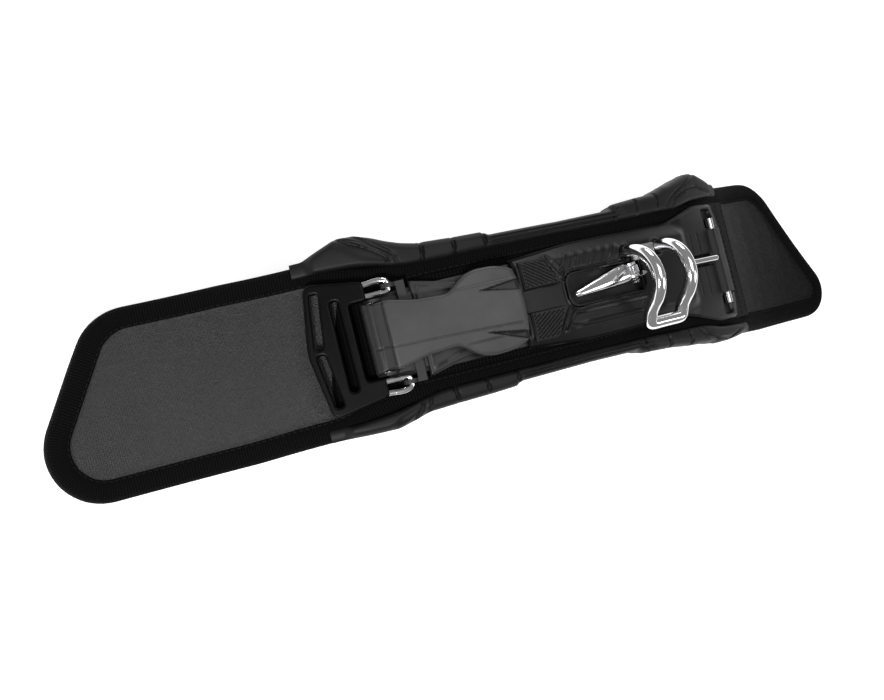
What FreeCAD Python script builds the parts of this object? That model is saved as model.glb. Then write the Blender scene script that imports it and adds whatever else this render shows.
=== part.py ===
import FreeCAD, Part
import math
import os
import types

import Sketcher
from FreeCAD import Placement, Rotation, Vector

# A kite or windsurf harness spreader bar on its foam waist pad, lying on its two wing tips.
# +X runs along the bar towards the hook, +Y to the pad's long-rail side, +Z out of the bar.
# "along" is the distance along the arch from its crest, "height" the distance out of the
# pad's top face. Origin: on the ground, below the centre of the bounding box.

SIZES = {
    # arch of the pad's top face: a crowned middle, two flares and two flat tips
    "arch_radius": 305.0,
    "flare_radius": 204.0,
    "arch_half_angle": 32.65,
    "crest_height": 94.43,
    "centre_shift": 14.85,
    "side_shift": -4.15,
    # soft layers
    "foam_thick": 12.0,
    "liner_thick": 2.0,
    "skin_thick": 1.2,
    "wing_half_width": 52.5,
    "waist_half_width": 41.5,
    "waist_half_length": 155.0,
    "wing_root": 161.0,
    "left_tip_long": 322.5,
    "left_tip_short": 258.7,
    "right_tip_long": 283.7,
    "right_tip_short": 221.5,
    "left_round_long": 31.0,
    "left_round_short": 32.0,
    "right_round_long": 20.0,
    "right_round_short": 34.0,
    "border_width": 13.0,
    "left_panel_end": 150.0,
    "right_panel_end": 153.0,
    # webbing sewn across the root of the right wing
    "seam_start": 142.0,
    "seam_end": 168.0,
    "seam_thick": 1.4,
    "seam_width": 72.0,
    # side rails
    "rail_low": -13.9,
    "rail_high": 5.0,
    "rail_lip": 36.0,
    "rail_lip_end": 39.4,
    "rail_half_length": 152.8,
    "rail_waist": 44.0,
    "rail_bulge_upper": 60.2,
    "rail_bulge_lower": 51.8,
    "rail_end_upper": 52.0,
    "rail_end_lower": 51.0,
    # spreader plate
    "plate_low": 1.3,
    "plate_thick": 2.0,
    "plate_left": 126.5,
    "plate_right": 139.0,
    "plate_half_width": 24.0,
    "plate_corner": 6.0,
    # lever, its base and its crank
    "pivot_along": -121.0,
    "pivot_height": 11.2,
    "pivot_pin_radius": 2.5,
    "running_gap": 0.05,
    "barrel_radius": 6.2,
    "barrel_half_width": 19.3,
    "lever_low": 8.9,
    "lever_high": 16.6,
    "lever_end": -41.5,
    "lever_waist": 14.7,
    "lever_flare": 24.8,
    "lever_tip_half": 20.6,
    "link_along": -110.0,
    "link_height": 7.7,
    "link_ear_radius": 4.1,
    "ear_inner": 26.2,
    "ear_outer": 28.6,
    "crank_low": 5.9,
    "crank_left": -105.8,
    "crank_right": -101.0,
    "base_low": 3.3,
    "base_floor": 5.5,
    "base_left": -127.0,
    "base_right": -66.0,
    "base_wide": 27.0,
    "base_narrow": 19.0,
    "base_step": -99.0,
    "base_neck": 21.3,
    "cheek_inner": 19.6,
    "cheek_outer": 21.3,
    # ladder buckle and its two steel loops, in the frame of the latch
    "latch_along": -135.0,
    "buckle_low": 3.3,
    "buckle_high": 9.7,
    "buckle_left": -26.5,
    "buckle_outer_left": -20.5,
    "buckle_bar": 2.0,
    "buckle_right": 12.5,
    "buckle_half_left": 38.5,
    "buckle_half_right": 32.9,
    "notch_half": 21.8,
    "slot_width": 5.0,
    "slot_long": 51.0,
    "slot_short": 30.0,
    "slot_long_at": -5.6,
    "slot_short_inner": -19.6,
    "slot_short_outer": -15.6,
    "slot_gap": 1.9,
    "loop_rod": 1.7,
    "loop_inner": 24.2,
    "loop_outer": 30.6,
    "loop_corner": 2.2,
    "loop_left": 5.0,
    # cover
    "cover_low": 3.4,
    "cover_high": 10.4,
    "cover_tail": 5.6,
    "cover_left": -39.0,
    "cover_step": 92.0,
    "cover_right": 140.5,
    "cover_half_left": 26.0,
    "cover_half_mid": 29.0,
    "cover_half_right": 38.0,
    "bevel_inner": 20.5,
    "bevel_foot": 4.6,
    "tray_left": -10.5,
    "tray_right": 46.0,
    "tray_low_side": -9.0,
    "tray_high_side": 11.0,
    "tray_floor": 4.4,
    "tray_round": 6.0,
    "tray_wall": 0.8,
    "grip_top": 11.2,
    "grip_floor": 9.4,
    "grip_inset": 2.5,
    "spine_half": 6.5,
    "window_inner": 21.5,
    "window_outer": 34.5,
    "window_left": 123.0,
    "window_right": 136.5,
    # hook, in the frame of its middle
    "hook_along": 47.5,
    "hook_rod": 4.0,
    "hook_half": 13.5,
    "hook_foot_side": 15.7,
    "hook_rise": 15.3,
    "hook_bend": 17.7,
    "hook_slope_end": 22.3,
    "hook_tip_side": 28.6,
    "hook_tip_height": 16.7,
    "hook_corner": 6.0,
    "foot_clear": 0.4,
    # lock finger, in its own frame
    "finger_along": 37.0,
    "finger_side": 4.8,
    "finger_height": 10.2,
    "finger_turn": 8.7,
    "finger_length": 47.0,
    "finger_base_radius": 4.5,
    "finger_tip_radius": 1.6,
    "finger_eye_radius": 4.3,
    "finger_eye_width": 5.0,
    "finger_pin_radius": 1.5,
    "clevis_ear": 1.6,
    "clevis_gap": 0.3,
    # release pin, in its own frame
    "release_along": 84.0,
    "release_side": 2.0,
    "release_height": 6.4,
    "release_radius": 1.9,
    "release_left": -40.5,
    "release_right": 39.2,
    "release_bore": 2.0,
    "spring_room": 2.9,
    "spring_left": -16.0,
    "spring_right": -2.0,
    # fixed webbing bar
    "bar_along": 131.0,
    "bar_height": 6.1,
    "bar_radius": 2.5,
    "bar_half_length": 28.0,
    # fasteners
    "screw_radius": 1.5,
    "screw_head": 2.8,
    "screw_top": 8.4,
    "head_thick": 1.2,
    "rivet_radius": 1.6,
    "rivet_top": 12.5,
}

# where the fasteners stand: along the arch and to the side
COVER_SCREWS = [(-25.0, 14.0), (-25.0, -14.0), (75.0, 20.0), (75.0, -20.0)]
BASE_RIVETS = [(-92.0, 14.0), (-92.0, -14.0), (-76.0, 11.0), (-76.0, -11.0)]
CRANK_RIVETS = [(-103.4, 11.0), (-103.4, -11.0)]


class Size:
    """A number together with the spreadsheet expression that gives it."""

    def __init__(self, value, text=None):
        self.value = float(value)
        self.text = text if text else "(%.9g)" % value

    def join(self, other, sign, value):
        return Size(value, "(%s %s %s)" % (self.text, sign, other.text))

    def __add__(self, other):
        other = as_size(other)
        return self.join(other, "+", self.value + other.value)

    def __sub__(self, other):
        other = as_size(other)
        return self.join(other, "-", self.value - other.value)

    def __mul__(self, other):
        other = as_size(other)
        return self.join(other, "*", self.value * other.value)

    def __truediv__(self, other):
        other = as_size(other)
        return self.join(other, "/", self.value / other.value)

    def __radd__(self, other):
        return as_size(other) + self

    def __rsub__(self, other):
        return as_size(other) - self

    def __rmul__(self, other):
        return as_size(other) * self

    def __neg__(self):
        return Size(-self.value, "(0 - %s)" % self.text)


def as_size(number):
    return number if isinstance(number, Size) else Size(number)


def sine(degrees):
    return Size(math.sin(math.radians(degrees.value)), "sin(%s * 1 deg)" % degrees.text)


def root(size):
    return Size(math.sqrt(size.value), "sqrt(%s)" % size.text)


def cosine(degrees):
    return Size(math.cos(math.radians(degrees.value)), "cos(%s * 1 deg)" % degrees.text)


doc = FreeCAD.newDocument("spreader_bar")
sheet = doc.addObject("Spreadsheet::Sheet", "Dims")
for row, (alias, number) in enumerate(SIZES.items(), start=1):
    sheet.set("A%d" % row, alias)
    sheet.set("B%d" % row, str(number))
    sheet.setAlias("B%d" % row, alias)
doc.recompute()

d = types.SimpleNamespace(**{name: Size(sheet.get(name), "Dims." + name) for name in SIZES})
subparts = []


# ---------------------------------------------------------------- geometry on the arch

def slope_at(along):
    """Angle of the arch below the horizontal, in degrees, at a distance from the crest."""
    return along / d.arch_radius * (180 / math.pi)


def on_arch(along, height):
    """X and Z of a point above the arch."""
    radius = d.arch_radius + height
    angle = slope_at(as_size(along))
    return radius * sine(angle), radius * cosine(angle) - d.arch_radius


def plan_x(along):
    """X of a point on the arch, seen from above."""
    return d.arch_radius * sine(slope_at(as_size(along)))


def crest_frame():
    """Placement of everything that is drawn from the crest of the arch."""
    return Placement(Vector(d.centre_shift.value, d.side_shift.value, d.crest_height.value), Rotation())


def arch_frame(along, side=0.0, height=0.0, turn=0.0):
    """Placement of a piece drawn in its own frame: X along the arch, Z out of it."""
    x, z = on_arch(as_size(along), as_size(height))
    base = Vector(x.value, as_size(side).value, z.value)
    tilt = Rotation(Vector(0, 1, 0), slope_at(as_size(along)).value)
    spin = Rotation(Vector(0, 0, 1), as_size(turn).value)
    return crest_frame().multiply(Placement(base, tilt.multiply(spin)))


# ---------------------------------------------------------------- sketches and features

def new_body(label, placement=None):
    body = doc.addObject("PartDesign::Body", label)
    body.Label = label
    body.Placement = placement if placement else crest_frame()
    subparts.append(body)
    doc.recompute()
    return body


def arc_between(first, second, radius):
    """Anticlockwise arc between two points; a positive radius puts the centre to the left."""
    half = (second - first).Length / 2
    reach = math.sqrt(max(radius * radius - half * half, 0))
    left = Vector(first.y - second.y, second.x - first.x, 0).normalize()
    centre = (first + second) * 0.5 + left * math.copysign(reach, radius)
    begin, end = (first, second) if radius > 0 else (second, first)
    angles = [math.atan2(point.y - centre.y, point.x - centre.x) for point in (begin, end)]
    return Part.ArcOfCircle(Part.Circle(centre, Vector(0, 0, 1), abs(radius)), *angles)


def sketch_loops(body, plane, name, loops):
    """Closed loops of corners (x, y) or (x, y, radius of the arc to the next corner)."""
    sketch = body.newObject("Sketcher::SketchObject", name)
    role = [item for item in body.Origin.OriginFeatures if item.Role == plane][0]
    sketch.AttachmentSupport = [(role, "")]
    sketch.MapMode = "FlatFace"
    for loop in loops:
        first = sketch.GeometryCount
        count = len(loop)
        corners = [(as_size(corner[0]), as_size(corner[1])) for corner in loop]
        points = [Vector(x.value, y.value, 0) for x, y in corners]
        backwards = []
        for index, corner in enumerate(loop):
            begin, end = points[index], points[(index + 1) % count]
            if len(corner) == 3:
                bend = as_size(corner[2]).value
                sketch.addGeometry(arc_between(begin, end, bend))
                backwards.append(bend < 0)
            else:
                sketch.addGeometry(Part.LineSegment(begin, end))
                backwards.append(False)
        for index, corner in enumerate(loop):
            here, after = first + index, first + (index + 1) % count
            start_of_here = 2 if backwards[index] else 1
            end_of_here = 1 if backwards[index] else 2
            start_of_next = 2 if backwards[(index + 1) % count] else 1
            sketch.addConstraint(Sketcher.Constraint("Coincident", here, end_of_here, after, start_of_next))
            for kind, size in zip(("DistanceX", "DistanceY"), corners[index]):
                number = sketch.addConstraint(
                    Sketcher.Constraint(kind, -1, 1, here, start_of_here, size.value))
                sketch.setExpression("Constraints[%d]" % number, size.text)
            if len(corner) == 3:
                radius = as_size(corner[2])
                number = sketch.addConstraint(Sketcher.Constraint("Radius", here, abs(radius.value)))
                sketch.setExpression("Constraints[%d]" % number, "abs(%s)" % radius.text)
    return sketch


def circle_sketch(body, plane, name, x, y, radius):
    sketch = body.newObject("Sketcher::SketchObject", name)
    role = [item for item in body.Origin.OriginFeatures if item.Role == plane][0]
    sketch.AttachmentSupport = [(role, "")]
    sketch.MapMode = "FlatFace"
    x, y, radius = as_size(x), as_size(y), as_size(radius)
    sketch.addGeometry(Part.Circle(Vector(x.value, y.value, 0), Vector(0, 0, 1), radius.value))
    for kind, size in (("DistanceX", x), ("DistanceY", y)):
        number = sketch.addConstraint(Sketcher.Constraint(kind, -1, 1, 0, 3, size.value))
        sketch.setExpression("Constraints[%d]" % number, size.text)
    number = sketch.addConstraint(Sketcher.Constraint("Radius", 0, radius.value))
    sketch.setExpression("Constraints[%d]" % number, radius.text)
    return sketch


def feature(body, kind, name, sketch, length=None, offset=None):
    """Pad or pocket through both sides, of a length or through all, from an offset sketch."""
    item = body.newObject("PartDesign::" + kind, name)
    item.Profile = sketch
    item.SideType = "Symmetric"
    if length is None:
        item.Type = "ThroughAll"
    else:
        item.setExpression("Length", as_size(length).text)
    if offset is not None:
        sketch.setExpression("AttachmentOffset.Base.z", as_size(offset).text)
    doc.recompute()
    return item


def strip_loop(start, end, low, high):
    """A strip that follows the arch between two heights, as a loop in the XZ plane."""
    low, high = as_size(low), as_size(high)
    corners = [on_arch(start, low), on_arch(start, high), on_arch(end, high), on_arch(end, low)]
    outer = -(d.arch_radius + high)
    inner = d.arch_radius + low
    return [corners[0], corners[1] + (outer,), corners[2], corners[3] + (inner,)]


def soft_loop(low, high):
    """Side view of a soft layer: flat tip, flare, arch, flare and flat tip."""
    span, rise = d.arch_radius + d.flare_radius, -(d.arch_radius + d.flare_radius)
    flat_x = span * sine(d.arch_half_angle)
    flat_z = rise * (as_size(1) - cosine(d.arch_half_angle))
    sides = []
    for height in (as_size(high), as_size(low)):
        arch = d.arch_radius + height
        flare = d.flare_radius - height
        end_x = arch * sine(d.arch_half_angle)
        end_z = arch * cosine(d.arch_half_angle) - d.arch_radius
        sides.append((arch, flare, end_x, end_z, flat_z + height))
    arch, flare, end_x, end_z, level = sides[0]
    top = [(-d.left_tip_long, level), (-flat_x, level, flare), (-end_x, end_z, -arch),
           (end_x, end_z, flare), (flat_x, level), (d.right_tip_long, level)]
    arch, flare, end_x, end_z, level = sides[1]
    bottom = [(d.right_tip_long, level), (flat_x, level, -flare), (end_x, end_z, arch),
              (-end_x, end_z, -flare), (-flat_x, level), (-d.left_tip_long, level)]
    return top + bottom


def rectangle(left, right, low, high):
    return [(left, low), (left, high), (right, high), (right, low)]


def trim_to(body, name, outline):
    """Cut away everything outside an outline seen from above."""
    frame = rectangle(-400, 400, -150, 150)
    feature(body, "Pocket", name, sketch_loops(body, "XY_Plane", name + "_outline", [frame, outline]))


def arch_strip(label, start, end, low, high, width):
    """Body padded from a strip along the arch, symmetric about the centre line."""
    body = new_body(label)
    profile = sketch_loops(body, "XZ_Plane", label + "_side", [strip_loop(start, end, low, high)])
    feature(body, "Pad", label + "_pad", profile, width)
    return body


def cut_strip(body, name, start, end, low, high, width=None, side=None):
    profile = sketch_loops(body, "XZ_Plane", name + "_side", [strip_loop(start, end, low, high)])
    feature(body, "Pocket", name, profile, width, side)


def rounded(corners):
    """Loop from corners (x, y, corner radius); a corner with no radius stays sharp."""
    loop = []
    count = len(corners)
    for index, corner in enumerate(corners):
        x, y = as_size(corner[0]), as_size(corner[1])
        if len(corner) == 2:
            loop.append((x, y))
            continue
        radius = as_size(corner[2])
        before, after = corners[index - 1], corners[(index + 1) % count]
        back_x, back_y = before[0] - x, before[1] - y
        on_x, on_y = after[0] - x, after[1] - y
        back, on = root(back_x * back_x + back_y * back_y), root(on_x * on_x + on_y * on_y)
        cross = back_x * on_y - back_y * on_x
        turn = -1 if cross.value > 0 else 1
        reach = radius * (back * on + back_x * on_x + back_y * on_y) / (cross * -turn)
        loop.append((x + back_x / back * reach, y + back_y / back * reach, radius * turn))
        loop.append((x + on_x / on * reach, y + on_y / on * reach))
    return loop


def loose_part(label, shape, placement):
    """A piece whose shape is made here from the sheet's sizes."""
    item = doc.addObject("Part::Feature", label)
    item.Label = label
    item.Shape = shape
    item.Placement = placement
    subparts.append(item)
    return item


# ---------------------------------------------------------------- soft layers

def pad_outline():
    """The waist pad seen from above: two slanted wings and a narrower waist."""
    wide, waist = d.wing_half_width, d.waist_half_width
    root_half = wide - 2
    upper = [(-d.left_tip_short, wide, d.left_round_short),
             (-d.wing_root, root_half),
             (-d.waist_half_length, waist),
             (d.waist_half_length, waist),
             (d.wing_root, root_half),
             (d.right_tip_short, wide, d.right_round_short)]
    lower = [(d.right_tip_long, -wide, d.right_round_long),
             (d.wing_root, -root_half),
             (d.waist_half_length, -waist),
             (-d.waist_half_length, -waist),
             (-d.wing_root, -root_half),
             (-d.left_tip_long, -wide, d.left_round_long)]
    return rounded(upper + lower)


def soft_layer(label, low, high):
    body = new_body(label)
    feature(body, "Pad", label + "_pad",
            sketch_loops(body, "XZ_Plane", label + "_side", [soft_loop(low, high)]), 150)
    trim_to(body, label + "_trim", pad_outline())
    return body


def panel_outline(side):
    """Woven panel inside the border of one wing; side is -1 for the left wing, 1 for the right."""
    if side < 0:
        short, long, start = -d.left_tip_short, -d.left_tip_long, -d.left_panel_end
        round_short, round_long = d.left_round_short, d.left_round_long
    else:
        short, long, start = d.right_tip_short, d.right_tip_long, d.right_panel_end
        round_short, round_long = d.right_round_short, d.right_round_long
    edge = d.wing_half_width - d.border_width
    # the tip's slant makes the border longer along X than across the edge
    inset_short = d.border_width * side * 0.56
    inset_long = d.border_width * side * 1.78
    return rounded([(start, edge), (short - inset_short, edge, round_short - 10),
                    (long - inset_long, -edge, round_long - 8), (start, -edge)])


def wing_panel(label, side):
    body = new_body(label)
    feature(body, "Pad", label + "_pad",
            sketch_loops(body, "XZ_Plane", label + "_side", [soft_loop(0, d.skin_thick)]), 150)
    trim_to(body, label + "_trim", panel_outline(side))


def knit_cover():
    body = soft_layer("knit_cover", 0, d.skin_thick)
    windows = [panel_outline(-1), panel_outline(1)]
    feature(body, "Pocket", "wing_windows", sketch_loops(body, "XY_Plane", "wing_window_outlines", windows))


def side_rail(label, side, bulge, end_width):
    """Moulded foam rail along one edge: a wide bulge near each end and a slim waist."""
    body = arch_strip(label, -163.5, 163.5, d.rail_low, d.rail_high, 150)
    half = d.rail_half_length
    lip, lip_end = d.rail_lip * side, d.rail_lip_end * side
    shoulder = bulge - (bulge - d.rail_waist) * 0.72
    outer = [(-half, lip_end),
             (-half, end_width * side),
             (plan_x(-119), bulge * side),
             (plan_x(-85), shoulder * side),
             (plan_x(-46), d.rail_waist * side),
             (plan_x(46), d.rail_waist * side),
             (plan_x(85), shoulder * side),
             (plan_x(119), bulge * side),
             (half, end_width * side),
             (half, lip_end),
             (plan_x(112), lip_end),
             (plan_x(100), lip),
             (plan_x(-100), lip),
             (plan_x(-112), lip_end)]
    trim_to(body, label + "_trim", outer)
    cut_strip(body, label + "_seat", -170, 170, d.rail_low - 5, d.skin_thick + 0.1, d.waist_half_width * 2 + 0.4)


def seam_strip():
    """Folded webbing sewn across the root of the right wing."""
    arch_strip("seam_strip", d.seam_start, d.seam_end, d.skin_thick, d.skin_thick + d.seam_thick, d.seam_width)


# ---------------------------------------------------------------- steel plate and bar cover

def spreader_plate():
    body = arch_strip("spreader_plate", -d.plate_left, d.plate_right, d.plate_low,
                      d.plate_low + d.plate_thick, d.plate_half_width * 2)
    left, right = plan_x(-d.plate_left), plan_x(d.plate_right)
    inset = d.plate_corner
    half = d.plate_half_width
    trim_to(body, "plate_corners",
            [(left, inset - half), (left, half - inset), (left + inset, half), (right - inset, half),
             (right, half - inset), (right, inset - half), (right - inset, -half), (left + inset, -half)])
    hook_holes(body, d.hook_rod)
    low, high = d.plate_low, d.plate_low + d.plate_thick
    screw_holes(body, "screw_bore", COVER_SCREWS, d.screw_radius, low, high)
    screw_holes(body, "screw_sink", COVER_SCREWS, d.screw_head, low, low + d.head_thick)
    screw_holes(body, "rivet_bore", BASE_RIVETS, d.rivet_radius, low, high)


def square_hole(body, name, along, side, radius, low=None, high=None, shift=0.0):
    """Round hole square to the arch at one place, right through or between two heights."""
    along = as_size(along)
    through = low is None
    x, z = on_arch(along, as_size(0) if through else (low + high) / 2)
    circle = circle_sketch(body, "XY_Plane", name + "_circle", shift, side, radius)
    tilt = Rotation(Vector(0, 1, 0), slope_at(along).value)
    circle.AttachmentOffset = Placement(Vector(x.value, 0, z.value), tilt)
    return feature(body, "Pocket", name, circle, None if through else high - low)


def hook_holes(body, radius):
    """Both holes for the feet of the hook."""
    for name, way in (("left_foot_hole", -1), ("right_foot_hole", 1)):
        square_hole(body, name, d.hook_along, d.hook_foot_side, radius, shift=d.hook_half * way)


def screw_holes(body, name, places, radius, low, high):
    """Holes for a set of fasteners, open below so that no sliver of the curved face is left."""
    low = low - 0.5
    for index, (along, side) in enumerate(places):
        square_hole(body, "%s_%d" % (name, index), along, side, radius, low, high)


def cover_outline():
    """The cover seen from above: slim beside the lever, wide round the fixed webbing bar."""
    left, right = plan_x(d.cover_left), plan_x(d.cover_right)
    return [(left, -d.cover_half_left), (left, d.cover_half_left), (plan_x(0), d.cover_half_mid),
            (plan_x(80), d.cover_half_mid), (plan_x(118), d.cover_half_right), (right, d.cover_half_right),
            (right, -d.cover_half_right), (plan_x(118), -d.cover_half_right),
            (plan_x(80), -d.cover_half_mid), (plan_x(0), -d.cover_half_mid)]


def tray_outline(grow):
    """Oblong recess seen from above, with two round corners towards the lever."""
    left, right = plan_x(d.tray_left) - grow, plan_x(d.tray_right) + grow
    low, high = d.tray_low_side - grow, d.tray_high_side + grow
    bend = d.tray_round
    return [(left + bend, low, -bend), (left, low + bend), (left, high - bend, -bend), (left + bend, high),
            (right, high), (right, low)]


def bar_cover():
    body = arch_strip("bar_cover", d.cover_left, d.cover_right, d.cover_low, d.cover_high, 100)
    trim_to(body, "cover_trim", cover_outline())
    cut_strip(body, "tail_step", d.cover_step, 150, d.cover_tail, 30)
    for name, side in (("upper_bevel", 1), ("lower_bevel", -1)):
        cover_bevel(body, name, side)
    tray = sketch_loops(body, "XY_Plane", "tray_hole_outline", [tray_outline(0)])
    feature(body, "Pocket", "tray_hole", tray)
    hook_holes(body, d.hook_rod + d.foot_clear)
    screw_holes(body, "cover_screw_bore", COVER_SCREWS, d.screw_radius, d.cover_low, d.screw_top)
    for name, side in (("upper_window", 1), ("lower_window", -1)):
        inner, outer = d.window_inner * side, d.window_outer * side
        hole = [(plan_x(d.window_left), inner), (plan_x(d.window_left), outer),
                (plan_x(d.window_right), outer), (plan_x(d.window_right), inner)]
        feature(body, "Pocket", name, sketch_loops(body, "XY_Plane", name + "_outline", [hole]))
    tunnel(body, "release_tunnel", d.release_left - 4, as_size(0), d.release_bore)
    tunnel(body, "spring_room", d.spring_left, d.spring_right, d.spring_room)
    tunnel(body, "release_channel", as_size(0), d.release_right + 20, d.release_bore + 0.6)
    bar_seat(body)
    for name, side in (("upper_grip_seat", 1), ("lower_grip_seat", -1)):
        seat = sketch_loops(body, "XY_Plane", name + "_outline", [grip_outline(side)])
        seat.setExpression("AttachmentOffset.Base.z", (d.grip_floor - 2.5 + 15).text)
        feature(body, "Pocket", name, seat, 30)


def cover_bevel(body, name, side):
    """Slope along one long edge of the cover, turned about the axis of the arch."""
    inner, outer = d.bevel_inner * side, (d.cover_half_mid + 1) * side
    top, over = d.arch_radius + d.cover_high + 0.5, d.arch_radius + d.bevel_foot
    profile = sketch_loops(body, "YZ_Plane", name + "_profile", [[(inner, top), (outer, top), (outer, over)]])
    profile.setExpression("AttachmentOffset.Base.y", (-d.arch_radius).text)
    groove = body.newObject("PartDesign::Groove", name)
    groove.Profile = profile
    groove.ReferenceAxis = (profile, ["H_Axis"])
    groove.Angle = 360
    doc.recompute()


def tunnel(body, name, start, end, radius):
    """Round bore along the release pin, from start to end in the pin's frame."""
    x, z = on_arch(d.release_along, d.release_height)
    middle = (start.value + end.value) / 2
    angle = slope_at(d.release_along).value
    sketch = circle_sketch(body, "YZ_Plane", name + "_circle", d.release_side, as_size(0), radius)
    step = Rotation(Vector(0, 1, 0), angle).multVec(Vector(middle, 0, 0))
    base = Vector(x.value, 0, z.value) + step
    # the sketch's own axes are Y, Z and X, so a move in X is its third coordinate
    turn = Rotation(Vector(1, 0, 0), angle)
    sketch.AttachmentOffset = Placement(Vector(0, base.z, base.x), turn)
    feature(body, "Pocket", name, sketch, end - start)


def bar_seat(body):
    x, z = on_arch(d.bar_along, d.bar_height)
    seat = circle_sketch(body, "XZ_Plane", "bar_seat_circle", x, z, d.bar_radius)
    feature(body, "Pocket", "bar_seat", seat, d.bar_half_length * 2)


def grip_outline(side):
    """Cross-hatched grip beside the spine, with a chevron end towards the hook."""
    near, far = d.spine_half * side, (d.cover_half_left - d.grip_inset) * side
    left = plan_x(d.cover_left + d.grip_inset)
    return [(left, near), (left, far), (plan_x(-22), far), (plan_x(-14), near)]


def grip_insert(label, side):
    body = arch_strip(label, d.cover_left + 2, -10, d.grip_floor, d.grip_top, 80)
    trim_to(body, label + "_trim", grip_outline(side))


def recess_tray():
    """Thin tray that lines the recess."""
    body = arch_strip("recess_tray", -20, 60, d.cover_low, d.cover_high - 0.3, 80)
    trim_to(body, "tray_trim", tray_outline(0))
    well = sketch_loops(body, "XY_Plane", "tray_well_outline", [tray_outline(-d.tray_wall)])
    middle = (d.tray_left + d.tray_right) / 2
    x, z = on_arch(middle, d.tray_floor)
    tilt = slope_at(middle).value
    drop = z.value + x.value * math.tan(math.radians(tilt))
    well.AttachmentOffset = Placement(Vector(0, 0, drop), Rotation(Vector(0, 1, 0), tilt))
    hollow = body.newObject("PartDesign::Pocket", "tray_well")
    hollow.Profile = well
    hollow.Type = "Length"
    hollow.Length = 40
    hollow.Reversed = True
    doc.recompute()
    tunnel(body, "tray_bore", d.release_left - 4, as_size(0), d.release_bore + 0.3)


def webbing_bar():
    x, z = on_arch(d.bar_along, d.bar_height)
    body = new_body("webbing_bar")
    circle = circle_sketch(body, "XZ_Plane", "bar_circle", x, z, d.bar_radius)
    feature(body, "Pad", "bar_pad", circle, d.bar_half_length * 2)


# ---------------------------------------------------------------- hook

def hook_path():
    """One bent rod: up from each foot, over the bend, down the slope and across the tip."""
    side, rise, bend = d.hook_foot_side.value, d.hook_rise.value, d.hook_bend.value
    half, corner = d.hook_half.value, d.hook_corner.value
    centre = Vector(0, side - bend, rise)
    eighth = math.sqrt(0.5)
    foot = Vector(0, side, d.plate_low.value)
    spring = Vector(0, side, rise)
    top = centre + Vector(0, bend * math.cos(math.radians(67.5)), bend * math.sin(math.radians(67.5)))
    fall = centre + Vector(0, -bend * eighth, bend * eighth)
    run = fall.y + d.hook_slope_end.value
    slope = fall + Vector(0, -run, -run)
    tip = Vector(0, -d.hook_tip_side.value, d.hook_tip_height.value)
    heading = (tip - slope).normalize()
    turn_in = tip - heading * corner
    edges = []
    for way in (-1, 1):
        shift = Vector(half * way, 0, 0)
        inner = tip + Vector((half - corner) * way, 0, 0)
        hub = turn_in + shift - Vector(corner * way, 0, 0)
        out = (Vector(way, 0, 0) + heading).normalize()
        leg = [Part.LineSegment(foot + shift, spring + shift).toShape(),
               Part.Arc(spring + shift, top + shift, fall + shift).toShape(),
               Part.LineSegment(fall + shift, slope + shift).toShape(),
               Part.LineSegment(slope + shift, turn_in + shift).toShape(),
               Part.Arc(turn_in + shift, hub + out * corner, inner).toShape()]
        edges.extend(leg if way < 0 else reversed(leg))
        if way < 0:
            edges.append(Part.LineSegment(inner, Vector(-inner.x, inner.y, inner.z)).toShape())
    return Part.Wire(edges), foot + Vector(-half, 0, 0)


def hook():
    path, foot = hook_path()
    ring = Part.Wire(Part.makeCircle(d.hook_rod.value, foot, Vector(0, 0, 1)))
    rod = path.makePipeShell([ring], True, False, 2)
    loose_part("hook", rod, arch_frame(d.hook_along))


def hook_base_plate():
    """Small steel plate that ties the two feet together on top of the cover."""
    body = new_body("hook_base_plate", arch_frame(d.hook_along, 0, d.cover_high))
    reach = d.hook_half - d.hook_rod - 0.1
    outline = rectangle(-reach, reach, d.hook_foot_side - 5.6, d.hook_foot_side + 3)
    feature(body, "Pad", "base_plate_pad",
            sketch_loops(body, "XY_Plane", "base_plate_outline", [outline]), 1.8, 1.3)


# ---------------------------------------------------------------- lock finger and release pin

def finger_frame(height=0.0):
    return arch_frame(d.finger_along, d.finger_side, d.finger_height + height, d.finger_turn)


def lock_finger():
    """Tapered polished finger that turns on an eye at its thick end."""
    body = new_body("lock_finger", finger_frame())
    tip = d.finger_tip_radius
    base = d.finger_base_radius
    start = d.finger_eye_radius
    end = d.finger_length - tip
    cone = sketch_loops(body, "XZ_Plane", "finger_side",
                        [[(-start, 0), (-start, base - 1), (-start - 1.5, base), (-end, tip, tip),
                          (-end - tip, 0)]])
    turned = body.newObject("PartDesign::Revolution", "finger_cone")
    turned.Profile = cone
    turned.ReferenceAxis = (cone, ["H_Axis"])
    turned.Angle = 360
    doc.recompute()
    eye = circle_sketch(body, "XZ_Plane", "finger_eye_circle", 0, 0, d.finger_eye_radius)
    feature(body, "Pad", "finger_eye", eye, d.finger_eye_width)
    neck = sketch_loops(body, "XZ_Plane", "finger_neck_side", [rectangle(-start - 1.5, 0, -3, 3)])
    feature(body, "Pad", "finger_neck", neck, d.finger_eye_width)
    bore = circle_sketch(body, "XZ_Plane", "finger_bore_circle", 0, 0, d.finger_pin_radius + d.running_gap)
    feature(body, "Pocket", "finger_bore", bore)


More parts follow.
